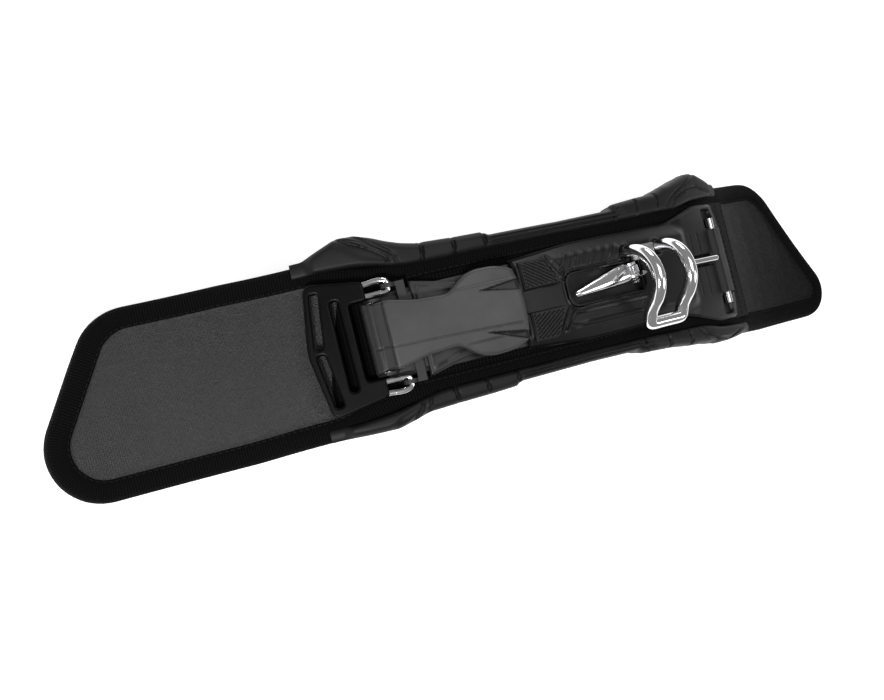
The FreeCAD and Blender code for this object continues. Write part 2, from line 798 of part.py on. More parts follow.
def finger_clevis():
    """Two ears on a foot that hold the finger's pin."""
    body = new_body("finger_clevis", finger_frame())
    inner = d.finger_eye_width / 2 + d.clevis_gap
    width = (inner + d.clevis_ear) * 2
    drop = d.tray_floor - d.finger_height + 0.7
    radius = as_size(3.6)
    ear = [(-radius, drop), (-radius, 0, -radius), (0, radius, -radius), (radius, 0), (radius, drop)]
    feature(body, "Pad", "clevis_block",
            sketch_loops(body, "XZ_Plane", "clevis_side", [ear]), width)
    gap = rectangle(-8, 8, drop + 0.6, 8)
    feature(body, "Pocket", "clevis_gap",
            sketch_loops(body, "XZ_Plane", "clevis_gap_side", [gap]), inner * 2)
    bore = circle_sketch(body, "XZ_Plane", "clevis_bore_circle", 0, 0, d.finger_pin_radius)
    feature(body, "Pocket", "clevis_bore", bore)


def finger_pin():
    half = d.finger_eye_width / 2 + d.clevis_gap + d.clevis_ear
    body = new_body("finger_pin", finger_frame())
    circle = circle_sketch(body, "XZ_Plane", "finger_pin_circle", 0, 0, d.finger_pin_radius)
    feature(body, "Pad", "finger_pin_pad", circle, half * 2)


def coil(radius, wire, pitch, turns):
    """Closed solid of a round wire wound in a smooth helix along Z."""
    steps = 12
    places = []
    for step in range(turns * steps + 1):
        angle = 2 * math.pi * step / steps
        places.append(Vector(radius * math.cos(angle), radius * math.sin(angle), pitch * step / steps))
    helix = Part.BSplineCurve()
    helix.interpolate(places)
    start = helix.tangent(helix.FirstParameter)[0]
    ring = Part.Wire(Part.makeCircle(wire, places[0], start))
    return Part.Wire(helix.toShape()).makePipeShell([ring], True, True)


def release_frame():
    return arch_frame(d.release_along, d.release_side, d.release_height)


def release_pin():
    """Sliding rod with a round pull end and a hooked end beside the finger."""
    body = new_body("release_pin", release_frame())
    left, right = d.release_left, d.release_right
    rod = circle_sketch(body, "YZ_Plane", "release_circle", 0, 0, d.release_radius)
    middle = (left + right) / 2
    feature(body, "Pad", "release_rod", rod, right - left, middle)
    ball = sketch_loops(body, "XY_Plane", "pull_end_side",
                        [[(right, 0), (right, d.release_radius, -d.release_radius),
                          (right + d.release_radius, 0)]])
    dome = body.newObject("PartDesign::Revolution", "pull_end")
    dome.Profile = ball
    dome.ReferenceAxis = (ball, ["H_Axis"])
    dome.Angle = 360
    doc.recompute()


def release_spring():
    frame = release_frame()
    turn = Placement(Vector(d.spring_left.value + 1, 0, 0), Rotation(Vector(0, 1, 0), 90))
    loose_part("release_spring", coil(2.35, 0.3, 1.6, 5), frame.multiply(turn))


def finger_spring():
    """Torsion coil round the finger's pin, between the eye and one ear."""
    frame = finger_frame()
    half = d.finger_eye_width.value / 2 + d.clevis_gap.value + d.clevis_ear.value
    turn = Placement(Vector(0, -half - 0.4, 0), Rotation(Vector(1, 0, 0), 90))
    loose_part("finger_spring", coil(2.35, 0.3, 1.6, 2), frame.multiply(turn))


# ---------------------------------------------------------------- lever, base and latch

def lever_outline():
    """The lever seen from above: straight shank, waist and a flared grip."""
    barrel, waist = d.barrel_half_width, d.lever_waist
    side = [(plan_x(-130), barrel), (plan_x(-112), barrel), (plan_x(-98), waist + 1.2),
            (plan_x(-81), waist), (plan_x(-72.5), d.lever_flare - 4.6), (plan_x(-62), d.lever_flare),
            (plan_x(-50), d.lever_flare - 0.6), (plan_x(d.lever_end), d.lever_tip_half)]
    return side + [(x, -y) for x, y in reversed(side)]


def lever():
    body = arch_strip("lever", d.pivot_along, d.lever_end, d.lever_low, d.lever_high, 80)
    x, z = on_arch(d.pivot_along, d.pivot_height)
    barrel = circle_sketch(body, "XZ_Plane", "barrel_circle", x, z, d.barrel_radius)
    feature(body, "Pad", "barrel", barrel, d.barrel_half_width * 2)
    trim_to(body, "lever_trim", lever_outline())
    bore = circle_sketch(body, "XZ_Plane", "lever_bore_circle", x, z, d.pivot_pin_radius + d.running_gap)
    feature(body, "Pocket", "lever_bore", bore)
    screw_holes(body, "lever_rivet_bore", CRANK_RIVETS, d.rivet_radius, d.lever_low, d.rivet_top)


def lever_crank():
    """Steel stirrup under the lever; its two outer ears pull the buckle's loops."""
    body = arch_strip("lever_crank", d.crank_left - 4, d.crank_right, d.crank_low, d.lever_low, d.ear_outer * 2)
    x, z = on_arch(d.link_along, d.link_height)
    ears = circle_sketch(body, "XZ_Plane", "ear_circle", x, z, d.link_ear_radius)
    feature(body, "Pad", "ears", ears, d.ear_outer * 2)
    clear = sketch_loops(body, "XZ_Plane", "between_ears_side",
                         [strip_loop(-130, d.crank_left, -5, 30)])
    feature(body, "Pocket", "between_ears", clear, d.ear_inner * 2)
    bore = circle_sketch(body, "XZ_Plane", "ear_bore_circle", x, z, d.loop_rod + d.running_gap)
    feature(body, "Pocket", "ear_bore", bore)
    screw_holes(body, "crank_rivet_bore", CRANK_RIVETS, d.rivet_radius, d.crank_low, d.lever_low)


def lever_base():
    """Moulded foot of the lever, with two cheeks round the pivot pin."""
    body = arch_strip("lever_base", d.base_left, d.base_right, d.base_low, d.base_floor, 80)
    x, z = on_arch(d.pivot_along, d.pivot_height)
    cheek = circle_sketch(body, "XZ_Plane", "cheek_circle", x, z, 6)
    feature(body, "Pad", "cheek_rounds", cheek, d.cheek_outer * 2)
    web = sketch_loops(body, "XZ_Plane", "cheek_web_side",
                       [strip_loop(d.base_left + 0.2, d.pivot_along + 5.5, d.base_low, d.pivot_height)])
    feature(body, "Pad", "cheek_webs", web, d.cheek_outer * 2)
    room = circle_sketch(body, "XZ_Plane", "barrel_room_circle", x, z, d.barrel_radius + 0.4)
    feature(body, "Pocket", "barrel_room", room, d.cheek_inner * 2)
    over = sketch_loops(body, "XZ_Plane", "barrel_top_side",
                        [strip_loop(-140, -100, d.base_floor, 40)])
    feature(body, "Pocket", "barrel_top", over, d.cheek_inner * 2)
    outline = [(plan_x(d.base_left) - 2, d.base_neck), (plan_x(d.base_step), d.base_neck),
               (plan_x(d.base_step + 0.1), d.base_wide), (plan_x(d.base_right), d.base_narrow)]
    trim_to(body, "base_trim", outline + [(px, -py) for px, py in reversed(outline)])
    bore = circle_sketch(body, "XZ_Plane", "base_bore_circle", x, z, d.pivot_pin_radius)
    feature(body, "Pocket", "base_bore", bore)
    screw_holes(body, "base_rivet_bore", BASE_RIVETS, d.rivet_radius, d.base_low, d.base_floor)


def lever_pivot_pin():
    x, z = on_arch(d.pivot_along, d.pivot_height)
    body = new_body("lever_pivot_pin")
    circle = circle_sketch(body, "XZ_Plane", "pivot_pin_circle", x, z, d.pivot_pin_radius)
    feature(body, "Pad", "pivot_pin_pad", circle, d.cheek_outer * 2)


def latch_frame():
    return arch_frame(d.latch_along)


def link_in_latch():
    """X and Z of the link axis in the latch's frame."""
    lean = slope_at(d.link_along) - slope_at(d.latch_along)
    radius = d.arch_radius + d.link_height
    return radius * sine(lean), radius * cosine(lean) - d.arch_radius


def slot(inner, outer, start, end):
    """Slot with a width of its own, slanted from (inner, start) to (outer, end)."""
    half = d.slot_width / 2
    bend = half * -1.02
    return [(inner - half, start), (outer - half, end, bend), (outer + half, end), (inner + half, start, bend)]


def ladder_buckle():
    body = new_body("ladder_buckle", latch_frame())
    side = [(d.buckle_left, 0), (d.buckle_outer_left, d.buckle_half_left),
            (d.buckle_right, d.buckle_half_right), (d.buckle_right, d.notch_half),
            (d.buckle_bar, d.notch_half)]
    outline = side + [(x, -y) for x, y in reversed(side[1:])]
    middle = (d.buckle_low + d.buckle_high) / 2
    feature(body, "Pad", "buckle_pad", sketch_loops(body, "XY_Plane", "buckle_outline", [outline]),
            d.buckle_high - d.buckle_low, middle)
    half = (d.slot_long - d.slot_width) / 2
    near, far = d.slot_gap + d.slot_width / 2, d.slot_gap + d.slot_short - d.slot_width / 2
    slots = [slot(d.slot_long_at, d.slot_long_at, -half, half),
             slot(d.slot_short_inner, d.slot_short_outer, near, far),
             slot(d.slot_short_outer, d.slot_short_inner, -far, -near)]
    feature(body, "Pocket", "slots", sketch_loops(body, "XY_Plane", "slot_outlines", slots))
    level = link_in_latch()[1]
    end = d.buckle_right + 1
    for side in (-1, 1):
        for name, leg in (("inner", d.loop_inner), ("outer", d.loop_outer)):
            socket = circle_sketch(body, "YZ_Plane", "%s_socket_%d" % (name, side + 1), leg * side, level,
                                   d.loop_rod)
            feature(body, "Pocket", "%s_leg_%d" % (name, side + 1), socket, end - d.loop_left,
                    (end + d.loop_left) / 2)


def loop_shape(side):
    """Steel loop: two legs in the buckle and a bend that runs through the crank's ear."""
    link_x, link_z = link_in_latch()
    x, z = link_x.value, link_z.value
    corner = d.loop_corner.value
    left = d.loop_left.value
    near, far = d.loop_inner.value * side, d.loop_outer.value * side
    step = corner * side
    bend = corner * (1 - math.sqrt(0.5))
    points = [Vector(left, near, z), Vector(x - corner, near, z),
              Vector(x - bend, near + bend * side, z), Vector(x, near + step, z),
              Vector(x, far - step, z), Vector(x - bend, far - bend * side, z),
              Vector(x - corner, far, z), Vector(left, far, z)]
    path = Part.Wire([Part.LineSegment(points[0], points[1]).toShape(),
                      Part.Arc(points[1], points[2], points[3]).toShape(),
                      Part.LineSegment(points[3], points[4]).toShape(),
                      Part.Arc(points[4], points[5], points[6]).toShape(),
                      Part.LineSegment(points[6], points[7]).toShape()])
    ring = Part.Wire(Part.makeCircle(d.loop_rod.value, points[0], Vector(1, 0, 0)))
    return path.makePipeShell([ring], True, False, 2)


# ---------------------------------------------------------------- fasteners

def fastener_group(label, places, radius, low, high, head=None, head_low=None):
    """Round shanks square to the arch, one solid each, with a flat head at one height."""
    solids = []
    for along, side in places:
        pin = Part.makeCylinder(radius.value, (high - low).value)
        if head:
            lift = Vector(0, 0, (head_low - low).value)
            pin = pin.fuse(Part.makeCylinder(head.value, d.head_thick.value, lift)).removeSplitter()
        x, z = on_arch(as_size(along), low)
        tilt = Rotation(Vector(0, 1, 0), slope_at(as_size(along)).value)
        pin.Placement = Placement(Vector(x.value, side, z.value), tilt)
        solids.append(pin)
    loose_part(label, Part.makeCompound(solids), crest_frame())


def build():
    soft_layer("waist_foam", -d.foam_thick, 0)
    soft_layer("body_liner", -(d.foam_thick + d.liner_thick), -d.foam_thick)
    knit_cover()
    wing_panel("left_wing_panel", -1)
    wing_panel("right_wing_panel", 1)
    side_rail("upper_side_rail", 1, d.rail_bulge_upper, d.rail_end_upper)
    side_rail("lower_side_rail", -1, d.rail_bulge_lower, d.rail_end_lower)
    seam_strip()
    spreader_plate()
    bar_cover()
    grip_insert("upper_grip_insert", 1)
    grip_insert("lower_grip_insert", -1)
    recess_tray()
    webbing_bar()
    hook()
    hook_base_plate()
    lock_finger()
    finger_clevis()
    finger_pin()
    finger_spring()
    release_pin()
    release_spring()
    lever_base()
    lever()
    lever_crank()
    lever_pivot_pin()
    fastener_group("cover_screws", COVER_SCREWS, d.screw_radius, d.plate_low, d.screw_top,
                   d.screw_head, d.plate_low)
    fastener_group("base_rivets", BASE_RIVETS, d.rivet_radius, d.plate_low, d.base_floor,
                   d.screw_head, d.base_floor)
    fastener_group("crank_rivets", CRANK_RIVETS, d.rivet_radius, d.crank_low, d.rivet_top)
    ladder_buckle()
    loose_part("upper_loop", loop_shape(1), latch_frame())
    loose_part("lower_loop", loop_shape(-1), latch_frame())


def export():
    doc.recompute()
    for item in doc.Objects:
        if "Invalid" in item.State or "Error" in item.State:
            raise RuntimeError("%s failed: %s" % (item.Label, item.State))
    os.makedirs("parts", exist_ok=True)
    for item in subparts:
        shape = item.Shape
        loose = len(shape.Solids) != 1 and "screws" not in item.Label and "rivets" not in item.Label
        if shape.isNull() or not shape.isValid() or not shape.Solids or loose:
            raise RuntimeError("%s has no valid solid" % item.Label)
        shape.exportStep("parts/%s.step" % item.Label)
        box = shape.BoundBox
        print("%-20s %d solid  x %.1f %.1f  y %.1f %.1f  z %.1f %.1f  %.0f mm3" % (
            item.Label, len(shape.Solids), box.XMin, box.XMax, box.YMin, box.YMax, box.ZMin, box.ZMax,
            shape.Volume))


build()
export()
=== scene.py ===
import math

import bpy
import numpy as np
from mathutils import Matrix, Vector


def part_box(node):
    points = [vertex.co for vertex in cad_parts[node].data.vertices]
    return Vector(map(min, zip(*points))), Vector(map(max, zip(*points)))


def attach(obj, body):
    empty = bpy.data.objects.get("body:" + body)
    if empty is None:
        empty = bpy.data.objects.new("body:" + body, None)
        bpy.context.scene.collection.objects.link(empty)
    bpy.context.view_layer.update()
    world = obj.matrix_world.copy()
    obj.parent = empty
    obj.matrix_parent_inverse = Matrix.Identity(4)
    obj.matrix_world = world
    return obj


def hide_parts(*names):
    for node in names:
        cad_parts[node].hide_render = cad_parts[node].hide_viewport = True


# Looks of a harness spreader bar on its waist pad. Drawings of the parts are flat: "along" runs
# along the arch from its crest, "side" across it and "height" out of the pad's top face, all
# in millimetres. on_arch() bends them over the arch into the row frame, in metres.

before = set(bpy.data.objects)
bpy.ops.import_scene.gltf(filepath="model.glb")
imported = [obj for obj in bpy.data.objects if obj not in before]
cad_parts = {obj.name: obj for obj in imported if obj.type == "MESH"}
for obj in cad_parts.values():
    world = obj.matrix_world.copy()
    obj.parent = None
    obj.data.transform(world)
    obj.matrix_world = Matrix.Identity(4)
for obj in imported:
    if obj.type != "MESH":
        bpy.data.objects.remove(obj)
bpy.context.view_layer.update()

MM = 0.001
ARCH_RADIUS = 305.0
FLARE_RADIUS = 204.0
HALF_ANGLE = math.radians(32.65)
ARCH_END = ARCH_RADIUS * HALF_ANGLE
TIP_START = (ARCH_RADIUS + FLARE_RADIUS) * HALF_ANGLE
TIP_X = (ARCH_RADIUS + FLARE_RADIUS) * math.sin(HALF_ANGLE)
TIP_Z = (ARCH_RADIUS + FLARE_RADIUS) * math.cos(HALF_ANGLE) - ARCH_RADIUS
SKIN = 1.2
ARC_POINTS = 17
ARC_MIDDLE = ARC_POINTS // 2

rail_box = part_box("upper_side_rail")
lever_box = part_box("lever")
CREST = Vector(((rail_box[0].x + rail_box[1].x) / 2, (lever_box[0].y + lever_box[1].y) / 2,
                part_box("knit_cover")[1].z - SKIN * MM))


# ------------------------------------------------------------------ flat drawings and the arch

def on_arch(along, side, height):
    """Row-frame points of flat ones."""
    along, side, height = np.broadcast_arrays(*(np.asarray(v, float) for v in (along, side, height)))
    far = np.abs(along)
    flare = np.clip(HALF_ANGLE - (far - ARCH_END) / FLARE_RADIUS, 0, HALF_ANGLE)
    bowed = far <= ARCH_END
    x = np.where(bowed, (ARCH_RADIUS + height) * np.sin(far / ARCH_RADIUS),
                 TIP_X + np.maximum(far - TIP_START, 0) - (FLARE_RADIUS - height) * np.sin(flare))
    z = np.where(bowed, (ARCH_RADIUS + height) * np.cos(far / ARCH_RADIUS) - ARCH_RADIUS,
                 TIP_Z - (FLARE_RADIUS - height) * np.cos(flare))
    return np.stack([np.sign(along) * x, side, z], axis=-1) * MM + np.array(CREST)


def along_of(x):
    """Distance along the arch of a plan x."""
    x = np.asarray(x, float)
    far = np.abs(x)
    bowed = ARCH_RADIUS * np.arcsin(np.clip(far / ARCH_RADIUS, 0, 1))
    flared = ARCH_END + FLARE_RADIUS * (HALF_ANGLE - np.arcsin(np.clip((TIP_X - far) / FLARE_RADIUS, 0, 1)))
    along = np.where(bowed <= ARCH_END, bowed, np.where(far >= TIP_X, TIP_START + far - TIP_X, flared))
    return np.sign(x) * along


def arch_matrix(along):
    """Frame on the arch's crest line: X along it, Y to the side, Z outwards."""
    return Matrix.Translation(Vector(on_arch(along, 0.0, 0.0))) @ Matrix.Rotation(along / ARCH_RADIUS, 4, "Y")


def smooth(value, start, end):
    """Rises smoothly from 0 at start to 1 at end."""
    t = np.clip((np.asarray(value, float) - start) / (end - start), 0, 1)
    return t * t * (3 - 2 * t)


def near_line(along, side, points):
    """Distance to a polyline."""
    best = np.full(np.shape(along), 1e9)
    for (ax, ay), (bx, by) in zip(points, points[1:]):
        dx, dy = bx - ax, by - ay
        t = np.clip(((along - ax) * dx + (side - ay) * dy) / (dx * dx + dy * dy), 0, 1)
        best = np.minimum(best, np.hypot(along - ax - t * dx, side - ay - t * dy))
    return best


def inside(along, side, corners):
    """Signed distance to a convex polygon, positive inside."""
    depth = np.full(np.shape(along), 1e9)
    area = sum(ax * by - bx * ay for (ax, ay), (bx, by) in zip(corners, corners[1:] + corners[:1]))
    turn = 1 if area > 0 else -1
    for (ax, ay), (bx, by) in zip(corners, corners[1:] + corners[:1]):
        length = math.hypot(bx - ax, by - ay)
        depth = np.minimum(depth, turn * ((bx - ax) * (side - ay) - (by - ay) * (along - ax)) / length)
    return depth


def line_groove(along, side, points, width, depth):
    """Height of a soft groove along a polyline."""
    return -depth * (1 - smooth(near_line(along, side, points), width * 0.25, width * 0.5 + 0.25))


def samples(start, end, spacing):
    return np.linspace(start, end, max(2, int(round(abs(end - start) / spacing)) + 1))


def rimmed_samples(start, end, rim, fine, coarse):
    """Samples with the fine spacing along the rim at both ends, for rounded edges."""
    middle = samples(start + rim, end - rim, coarse)[1:-1]
    return np.concatenate([samples(start, start + rim, fine), middle, samples(end - rim, end, fine)])


def round_off(distance, radius):
    """Fall of a rounded edge at a distance in from it, from 1 at the edge to 0 past the radius."""
    return 1 - np.sqrt(np.clip(1 - (1 - np.clip(distance / radius, 0, 1)) ** 2, 0, 1))


def even_out(widths, reach):
    """Running mean over reach samples to either side, which softens the corners of an outline."""
    window = np.ones(2 * reach + 1) / (2 * reach + 1)
    return np.convolve(np.pad(widths, reach, mode="edge"), window, mode="valid")


def fillet(corners):
    """Closed outline of (x, y, radius) corners with their arcs drawn out."""
    points = []
    for i, (x, y, radius) in enumerate(corners):
        here = np.array((x, y))
        if radius == 0:
            points.append(here)
            continue
        back = np.array(corners[i - 1][:2]) - here
        ahead = np.array(corners[(i + 1) % len(corners)][:2]) - here
        back, ahead = back / np.linalg.norm(back), ahead / np.linalg.norm(ahead)
        half = math.acos(np.clip(back @ ahead, -1, 1)) / 2
        centre = here + (back + ahead) / np.linalg.norm(back + ahead) * radius / math.sin(half)
        first = here + back * radius / math.tan(half) - centre
        last = here + ahead * radius / math.tan(half) - centre
        sweep = math.pi - 2 * half
        for t in np.linspace(0, 1, ARC_POINTS):
            arc = (first * math.sin((1 - t) * sweep) + last * math.sin(t * sweep)) / math.sin(sweep)
            points.append(centre + arc)
    return np.array(points)


def resample(points, count):
    """count + 1 points evenly spaced along a polyline."""
    points = np.asarray(points, float)
    length = np.concatenate([[0], np.cumsum(np.linalg.norm(np.diff(points, axis=0), axis=1))])
    at = np.linspace(0, length[-1], count + 1)
    return np.stack([np.interp(at, length, points[:, k]) for k in range(points.shape[1])], axis=1)


# ------------------------------------------------------------------ meshes

def make(name, points, faces, body, slot, replaced=(), uv=None, materials=None, face_material=None, sharp=35):
    """A mesh piece that rides on a CAD body. points are in the row frame, uv in metres."""
    mesh = bpy.data.meshes.new(name)
    mesh.from_pydata(np.asarray(points, float).reshape(-1, 3).tolist(), [], [list(map(int, f)) for f in faces])
    for material in materials or [slot]:
        mesh.materials.append(MATERIALS[material])
    if face_material is not None:
        mesh.polygons.foreach_set("material_index", face_material)
    if uv is not None:
        layer = mesh.uv_layers.new(name="UVMap")
        corner = np.zeros(len(mesh.loops), int)
        mesh.loops.foreach_get("vertex_index", corner)
        layer.data.foreach_set("uv", np.asarray(uv, float).reshape(-1, 2)[corner].ravel())
    mesh.polygons.foreach_set("use_smooth", [True] * len(mesh.polygons))
    mesh.set_sharp_from_angle(angle=math.radians(sharp))
    mesh.update()
    made = bpy.data.objects.new(name, mesh)
    bpy.context.collection.objects.link(made)
    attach(made, body)
    if replaced:
        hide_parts(*replaced)
    return made


def grid_faces(rows, columns, start=0, flip=False):
    """Quads of a rows by columns grid of points."""
    i, j = np.meshgrid(np.arange(rows - 1), np.arange(columns - 1), indexing="ij")
    first = (i * columns + j).ravel()
    quads = np.stack([first, first + columns, first + columns + 1, first + 1], axis=1)
    return (quads[:, ::-1] if flip else quads) + start


def ring_faces(rings, size, start):
    """Quads between rings of size points each."""
    i, j = np.meshgrid(np.arange(rings - 1), np.arange(size), indexing="ij")
    i, j = i.ravel() * size + start, j.ravel()
    after = (j + 1) % size
    return np.stack([i + j, i + after, i + size + after, i + size + j], axis=1)


def relief(name, along, side, top, bottom, body, slot, replaced=(), sharp=35, materials=None, kinds=None):
    """Closed shell over a grid of flat points: a modelled top, walls and an underside.

    kinds gives each point the number of its material.
    """
    rows, columns = along.shape
    upper = on_arch(along, side, top).reshape(-1, 3)
    lower = on_arch(along, side, np.broadcast_to(bottom, along.shape)).reshape(-1, 3)
    count = rows * columns
    ring = [*(r * columns for r in range(rows)), *((rows - 1) * columns + c for c in range(1, columns)),
            *(r * columns + columns - 1 for r in range(rows - 2, -1, -1)), *range(columns - 2, 0, -1)]
    walls = [(a, a + count, b + count, b) for a, b in zip(ring, ring[1:] + ring[:1])]
    faces = [*grid_faces(rows, columns), *walls, *grid_faces(rows, columns, count, flip=True)]
    flat = np.stack([along, side], axis=-1).reshape(-1, 2) * MM
    face_kinds = None
    if kinds is not None:
        tops = kinds[:-1, :-1].ravel().tolist()
        edges = [int(kinds[a % count // columns, a % columns]) for a, *_ in walls]
        face_kinds = tops + edges + tops
    return make(name, np.concatenate([upper, lower]), faces, body, slot, replaced,
                np.concatenate([flat, flat]), materials, face_kinds, sharp)


def meshed(curve):
    """Points and faces of a curve."""
    holder = bpy.data.objects.new(curve.name + "_line", curve)
    bpy.context.collection.objects.link(holder)
    mesh = bpy.data.meshes.new_from_object(holder)
    bpy.data.objects.remove(holder)
    return [vertex.co for vertex in mesh.vertices], [list(polygon.vertices) for polygon in mesh.polygons]


def tube(name, places, radius, body, slot, replaced):
    """A round rod along a smooth line, with closed ends."""
    line = bpy.data.curves.new(name, "CURVE")
    line.dimensions = "3D"
    spline = line.splines.new("NURBS")
    spline.points.add(len(places) - 1)
    for point, place in zip(spline.points, places):
        point.co = (*place, 1)
    spline.order_u = 3
    spline.use_endpoint_u = True
    line.resolution_u = 12
    line.bevel_depth = radius
    line.bevel_resolution = 8
    line.use_fill_caps = True
    return make(name, *meshed(line), body, slot, replaced, sharp=50)


STITCH_LENGTH = 2.6
STITCH_WIDTH = 0.7


def thread(name, places, directions, normals, slot):
    """Sewing stitches, each a small rounded bead of thread that dips in at both ends."""
    length, width = STITCH_LENGTH * MM, STITCH_WIDTH * MM
    stations = np.array([-0.5, -0.38, 0.0, 0.38, 0.5])
    swell = np.array([0.35, 0.85, 1.0, 0.85, 0.35])
    dip = np.array([-0.55, 0.0, 0.25, 0.0, -0.55])
    turn = np.linspace(0, 2 * math.pi, 6, endpoint=False)
    points, faces = [], []
    for place, ahead, out in zip(places, directions, normals):
        across = np.cross(out, ahead)
        start = len(points)
        for t, s, drop in zip(stations, swell, dip):
            middle = place + ahead * t * length + out * drop * width
            points.extend(middle + (across * math.cos(a) + out * math.sin(a)) * width * 0.5 * s for a in turn)
        faces.extend(grid_faces(5, 6, start).tolist())
        seam = [start + row * 6 for row in range(4)]
        faces.extend([first + 5, first + 11, first + 6, first] for first in seam)
        faces.append([start + k for k in range(5, -1, -1)])
        faces.append([start + 24 + k for k in range(6)])
    return make(name, points, faces, "bar", slot, materials=["stitching"])


def stitch_row(name, flat, spacing, slot):
    """Stitches along a flat (along, side, height) line on the bar."""
    flat = np.asarray(flat, float)
    run = np.linalg.norm(np.diff(flat, axis=0), axis=1).sum()
    spots = resample(flat, max(2, int(run / spacing)))
    points = on_arch(*spots.T)
    raised = on_arch(spots[:, 0], spots[:, 1], spots[:, 2] + 1)
    ahead = np.diff(points, axis=0)
    ahead /= np.linalg.norm(ahead, axis=1)[:, None]
    out = (raised - points)[:-1]
    out /= np.linalg.norm(out, axis=1)[:, None]
    return thread(name, (points[:-1] + points[1:]) / 2, ahead, out, slot)


# ------------------------------------------------------------------ materials

def grey(level, blue=None):
    """A grey, with its blue share a little stronger where blue is given."""
    return (level, level, level if blue is None else blue)


def surface(name, color, roughness, **shader):
    """A node material; shader names Principled sockets with underscores for spaces."""
    material = bpy.data.materials.new(name)
    material.use_nodes = True
    inputs = material.node_tree.nodes["Principled BSDF"].inputs
    inputs["Base Color"].default_value = (*color, 1)
    inputs["Roughness"].default_value = roughness
    for socket, value in shader.items():
        inputs[socket.replace("_", " ")].default_value = value
    return material


def feed(material, socket, value):
    """Sets a socket to a value, or links it from another socket."""
    if isinstance(value, bpy.types.NodeSocket):
        material.node_tree.links.new(value, socket)
    else:
        socket.default_value = value


def node(material, kind, settings=None, **inputs):
    """Adds a node. Each input is a value, or a socket to link from."""
    made = material.node_tree.nodes.new(kind)
    for name, value in (settings or {}).items():
        setattr(made, name, value)
    for name, value in inputs.items():
        feed(material, made.inputs[name], value)
    return made


def principled(material, name):
    """An input of the material's shader."""
    return material.node_tree.nodes["Principled BSDF"].inputs[name]


def coordinates(material, kind="Object"):
    """Where a shaded point is, in metres."""
    return node(material, "ShaderNodeTexCoord").outputs[kind]


def math_node(material, operation, first, second=0.0):
    made = node(material, "ShaderNodeMath", {"operation": operation})
    feed(material, made.inputs[0], first)
    feed(material, made.inputs[1], second)
    return made.outputs[0]


def noise(material, where, scale, detail=3.0, roughness=0.6):
    return node(material, "ShaderNodeTexNoise", Vector=where, Scale=scale, Detail=detail,
                Roughness=roughness).outputs["Fac"]


def bands(material, where, direction, pitch):
    """Fac of even ridges, pitch metres apart."""
    waves_per_unit = 20 / (2 * math.pi)
    return node(material, "ShaderNodeTexWave", {"bands_direction": direction}, Vector=where,
                Scale=1 / waves_per_unit / pitch).outputs["Fac"]


def tint(material, factor, dark, light):
    """Base colour that goes from dark to light with factor."""
    ramp = node(material, "ShaderNodeValToRGB", Fac=factor)
    ramp.color_ramp.elements[0].color = (*dark, 1)
    ramp.color_ramp.elements[1].color = (*light, 1)
    ramp.color_ramp.elements[0].position = 0.3
    ramp.color_ramp.elements[1].position = 0.7
    feed(material, principled(material, "Base Color"), ramp.outputs[0])


def roughen(material, factor, low, high):
    """Roughness that goes from low to high with factor."""
    spread = node(material, "ShaderNodeMapRange", **{"Value": factor, "To Min": low, "To Max": high})
    feed(material, principled(material, "Roughness"), spread.outputs[0])


def bump(material, height, distance, strength=1.0, under=None):
    """Bump of height metres, on top of an earlier bump."""
    made = node(material, "ShaderNodeBump", Height=height, Distance=distance, Strength=strength)
    if under is not None:
        feed(material, made.inputs["Normal"], under)
    feed(material, principled(material, "Normal"), made.outputs[0])
    return made.outputs[0]


def weave(material, pitch):
    """Height of a plain weave on the piece's own flat map."""
    where = coordinates(material, "UV")
    warp = bands(material, where, "X", pitch)
    weft = bands(material, where, "Y", pitch)
    squares = node(material, "ShaderNodeTexChecker", Vector=where, Scale=1 / pitch,
                   Color1=(1, 1, 1, 1), Color2=(0, 0, 0, 1)).outputs["Fac"]
    over = math_node(material, "MULTIPLY", warp, squares)
    under = math_node(material, "MULTIPLY", weft, math_node(material, "SUBTRACT", 1.0, squares))
    return math_node(material, "ADD", over, under)


def woven_cloth(name, gloss):
    """Coarse pack cloth of the wings: a speckled plain weave; gloss is how much the surface mirrors."""
    material = surface(name, grey(0.01), 0.5, Specular_IOR_Level=gloss)
    height = weave(material, 0.0013)
    fleck = noise(material, coordinates(material), 620, 4.0, 0.7)
    cloud = noise(material, coordinates(material), 14, 2.0)
    both = math_node(material, "ADD", math_node(material, "MULTIPLY", fleck, 0.9),
                     math_node(material, "MULTIPLY", height, 0.1))
    tint(material, both, grey(0.0012), grey(0.014, 0.0142))
    roughen(material, cloud, 0.34, 0.44)
    under = bump(material, fleck, 0.0007, 1.0)
    bump(material, height, 0.0003, 0.5, under)
    return material


def knit_cloth(name, rib, dark, light):
    """Ribbed knit: rows of small loops across the ribs."""
    material = surface(name, light, 0.85, Specular_IOR_Level=0.05)
    where = coordinates(material, "UV")
    ribs = bands(material, where, "X", rib)
    loops = bands(material, where, "Y", rib * 0.8)
    height = math_node(material, "ADD", math_node(material, "MULTIPLY", ribs, 0.65),
                       math_node(material, "MULTIPLY", loops, 0.35))
    fuzz = noise(material, coordinates(material), 900, 3.0)
    tint(material, math_node(material, "ADD", math_node(material, "MULTIPLY", height, 0.6),
                             math_node(material, "MULTIPLY", fuzz, 0.3)), dark, light)
    under = bump(material, fuzz, 0.0003, 0.6)
    bump(material, height, 0.0005, 0.9, under)
    return material


def foam_skin():
    """Satin moulded foam of the side rails, with a fine pebble."""
    material = surface("moulded_foam", grey(0.005), 0.5, Specular_IOR_Level=0.17)
    where = coordinates(material)
    tint(material, noise(material, where, 30, 4.0), grey(0.0030, 0.0031), grey(0.0080, 0.0082))
    roughen(material, noise(material, where, 60, 3.0), 0.42, 0.62)
    bump(material, noise(material, where, 1400, 2.0), 0.00012, 0.5)
    return material


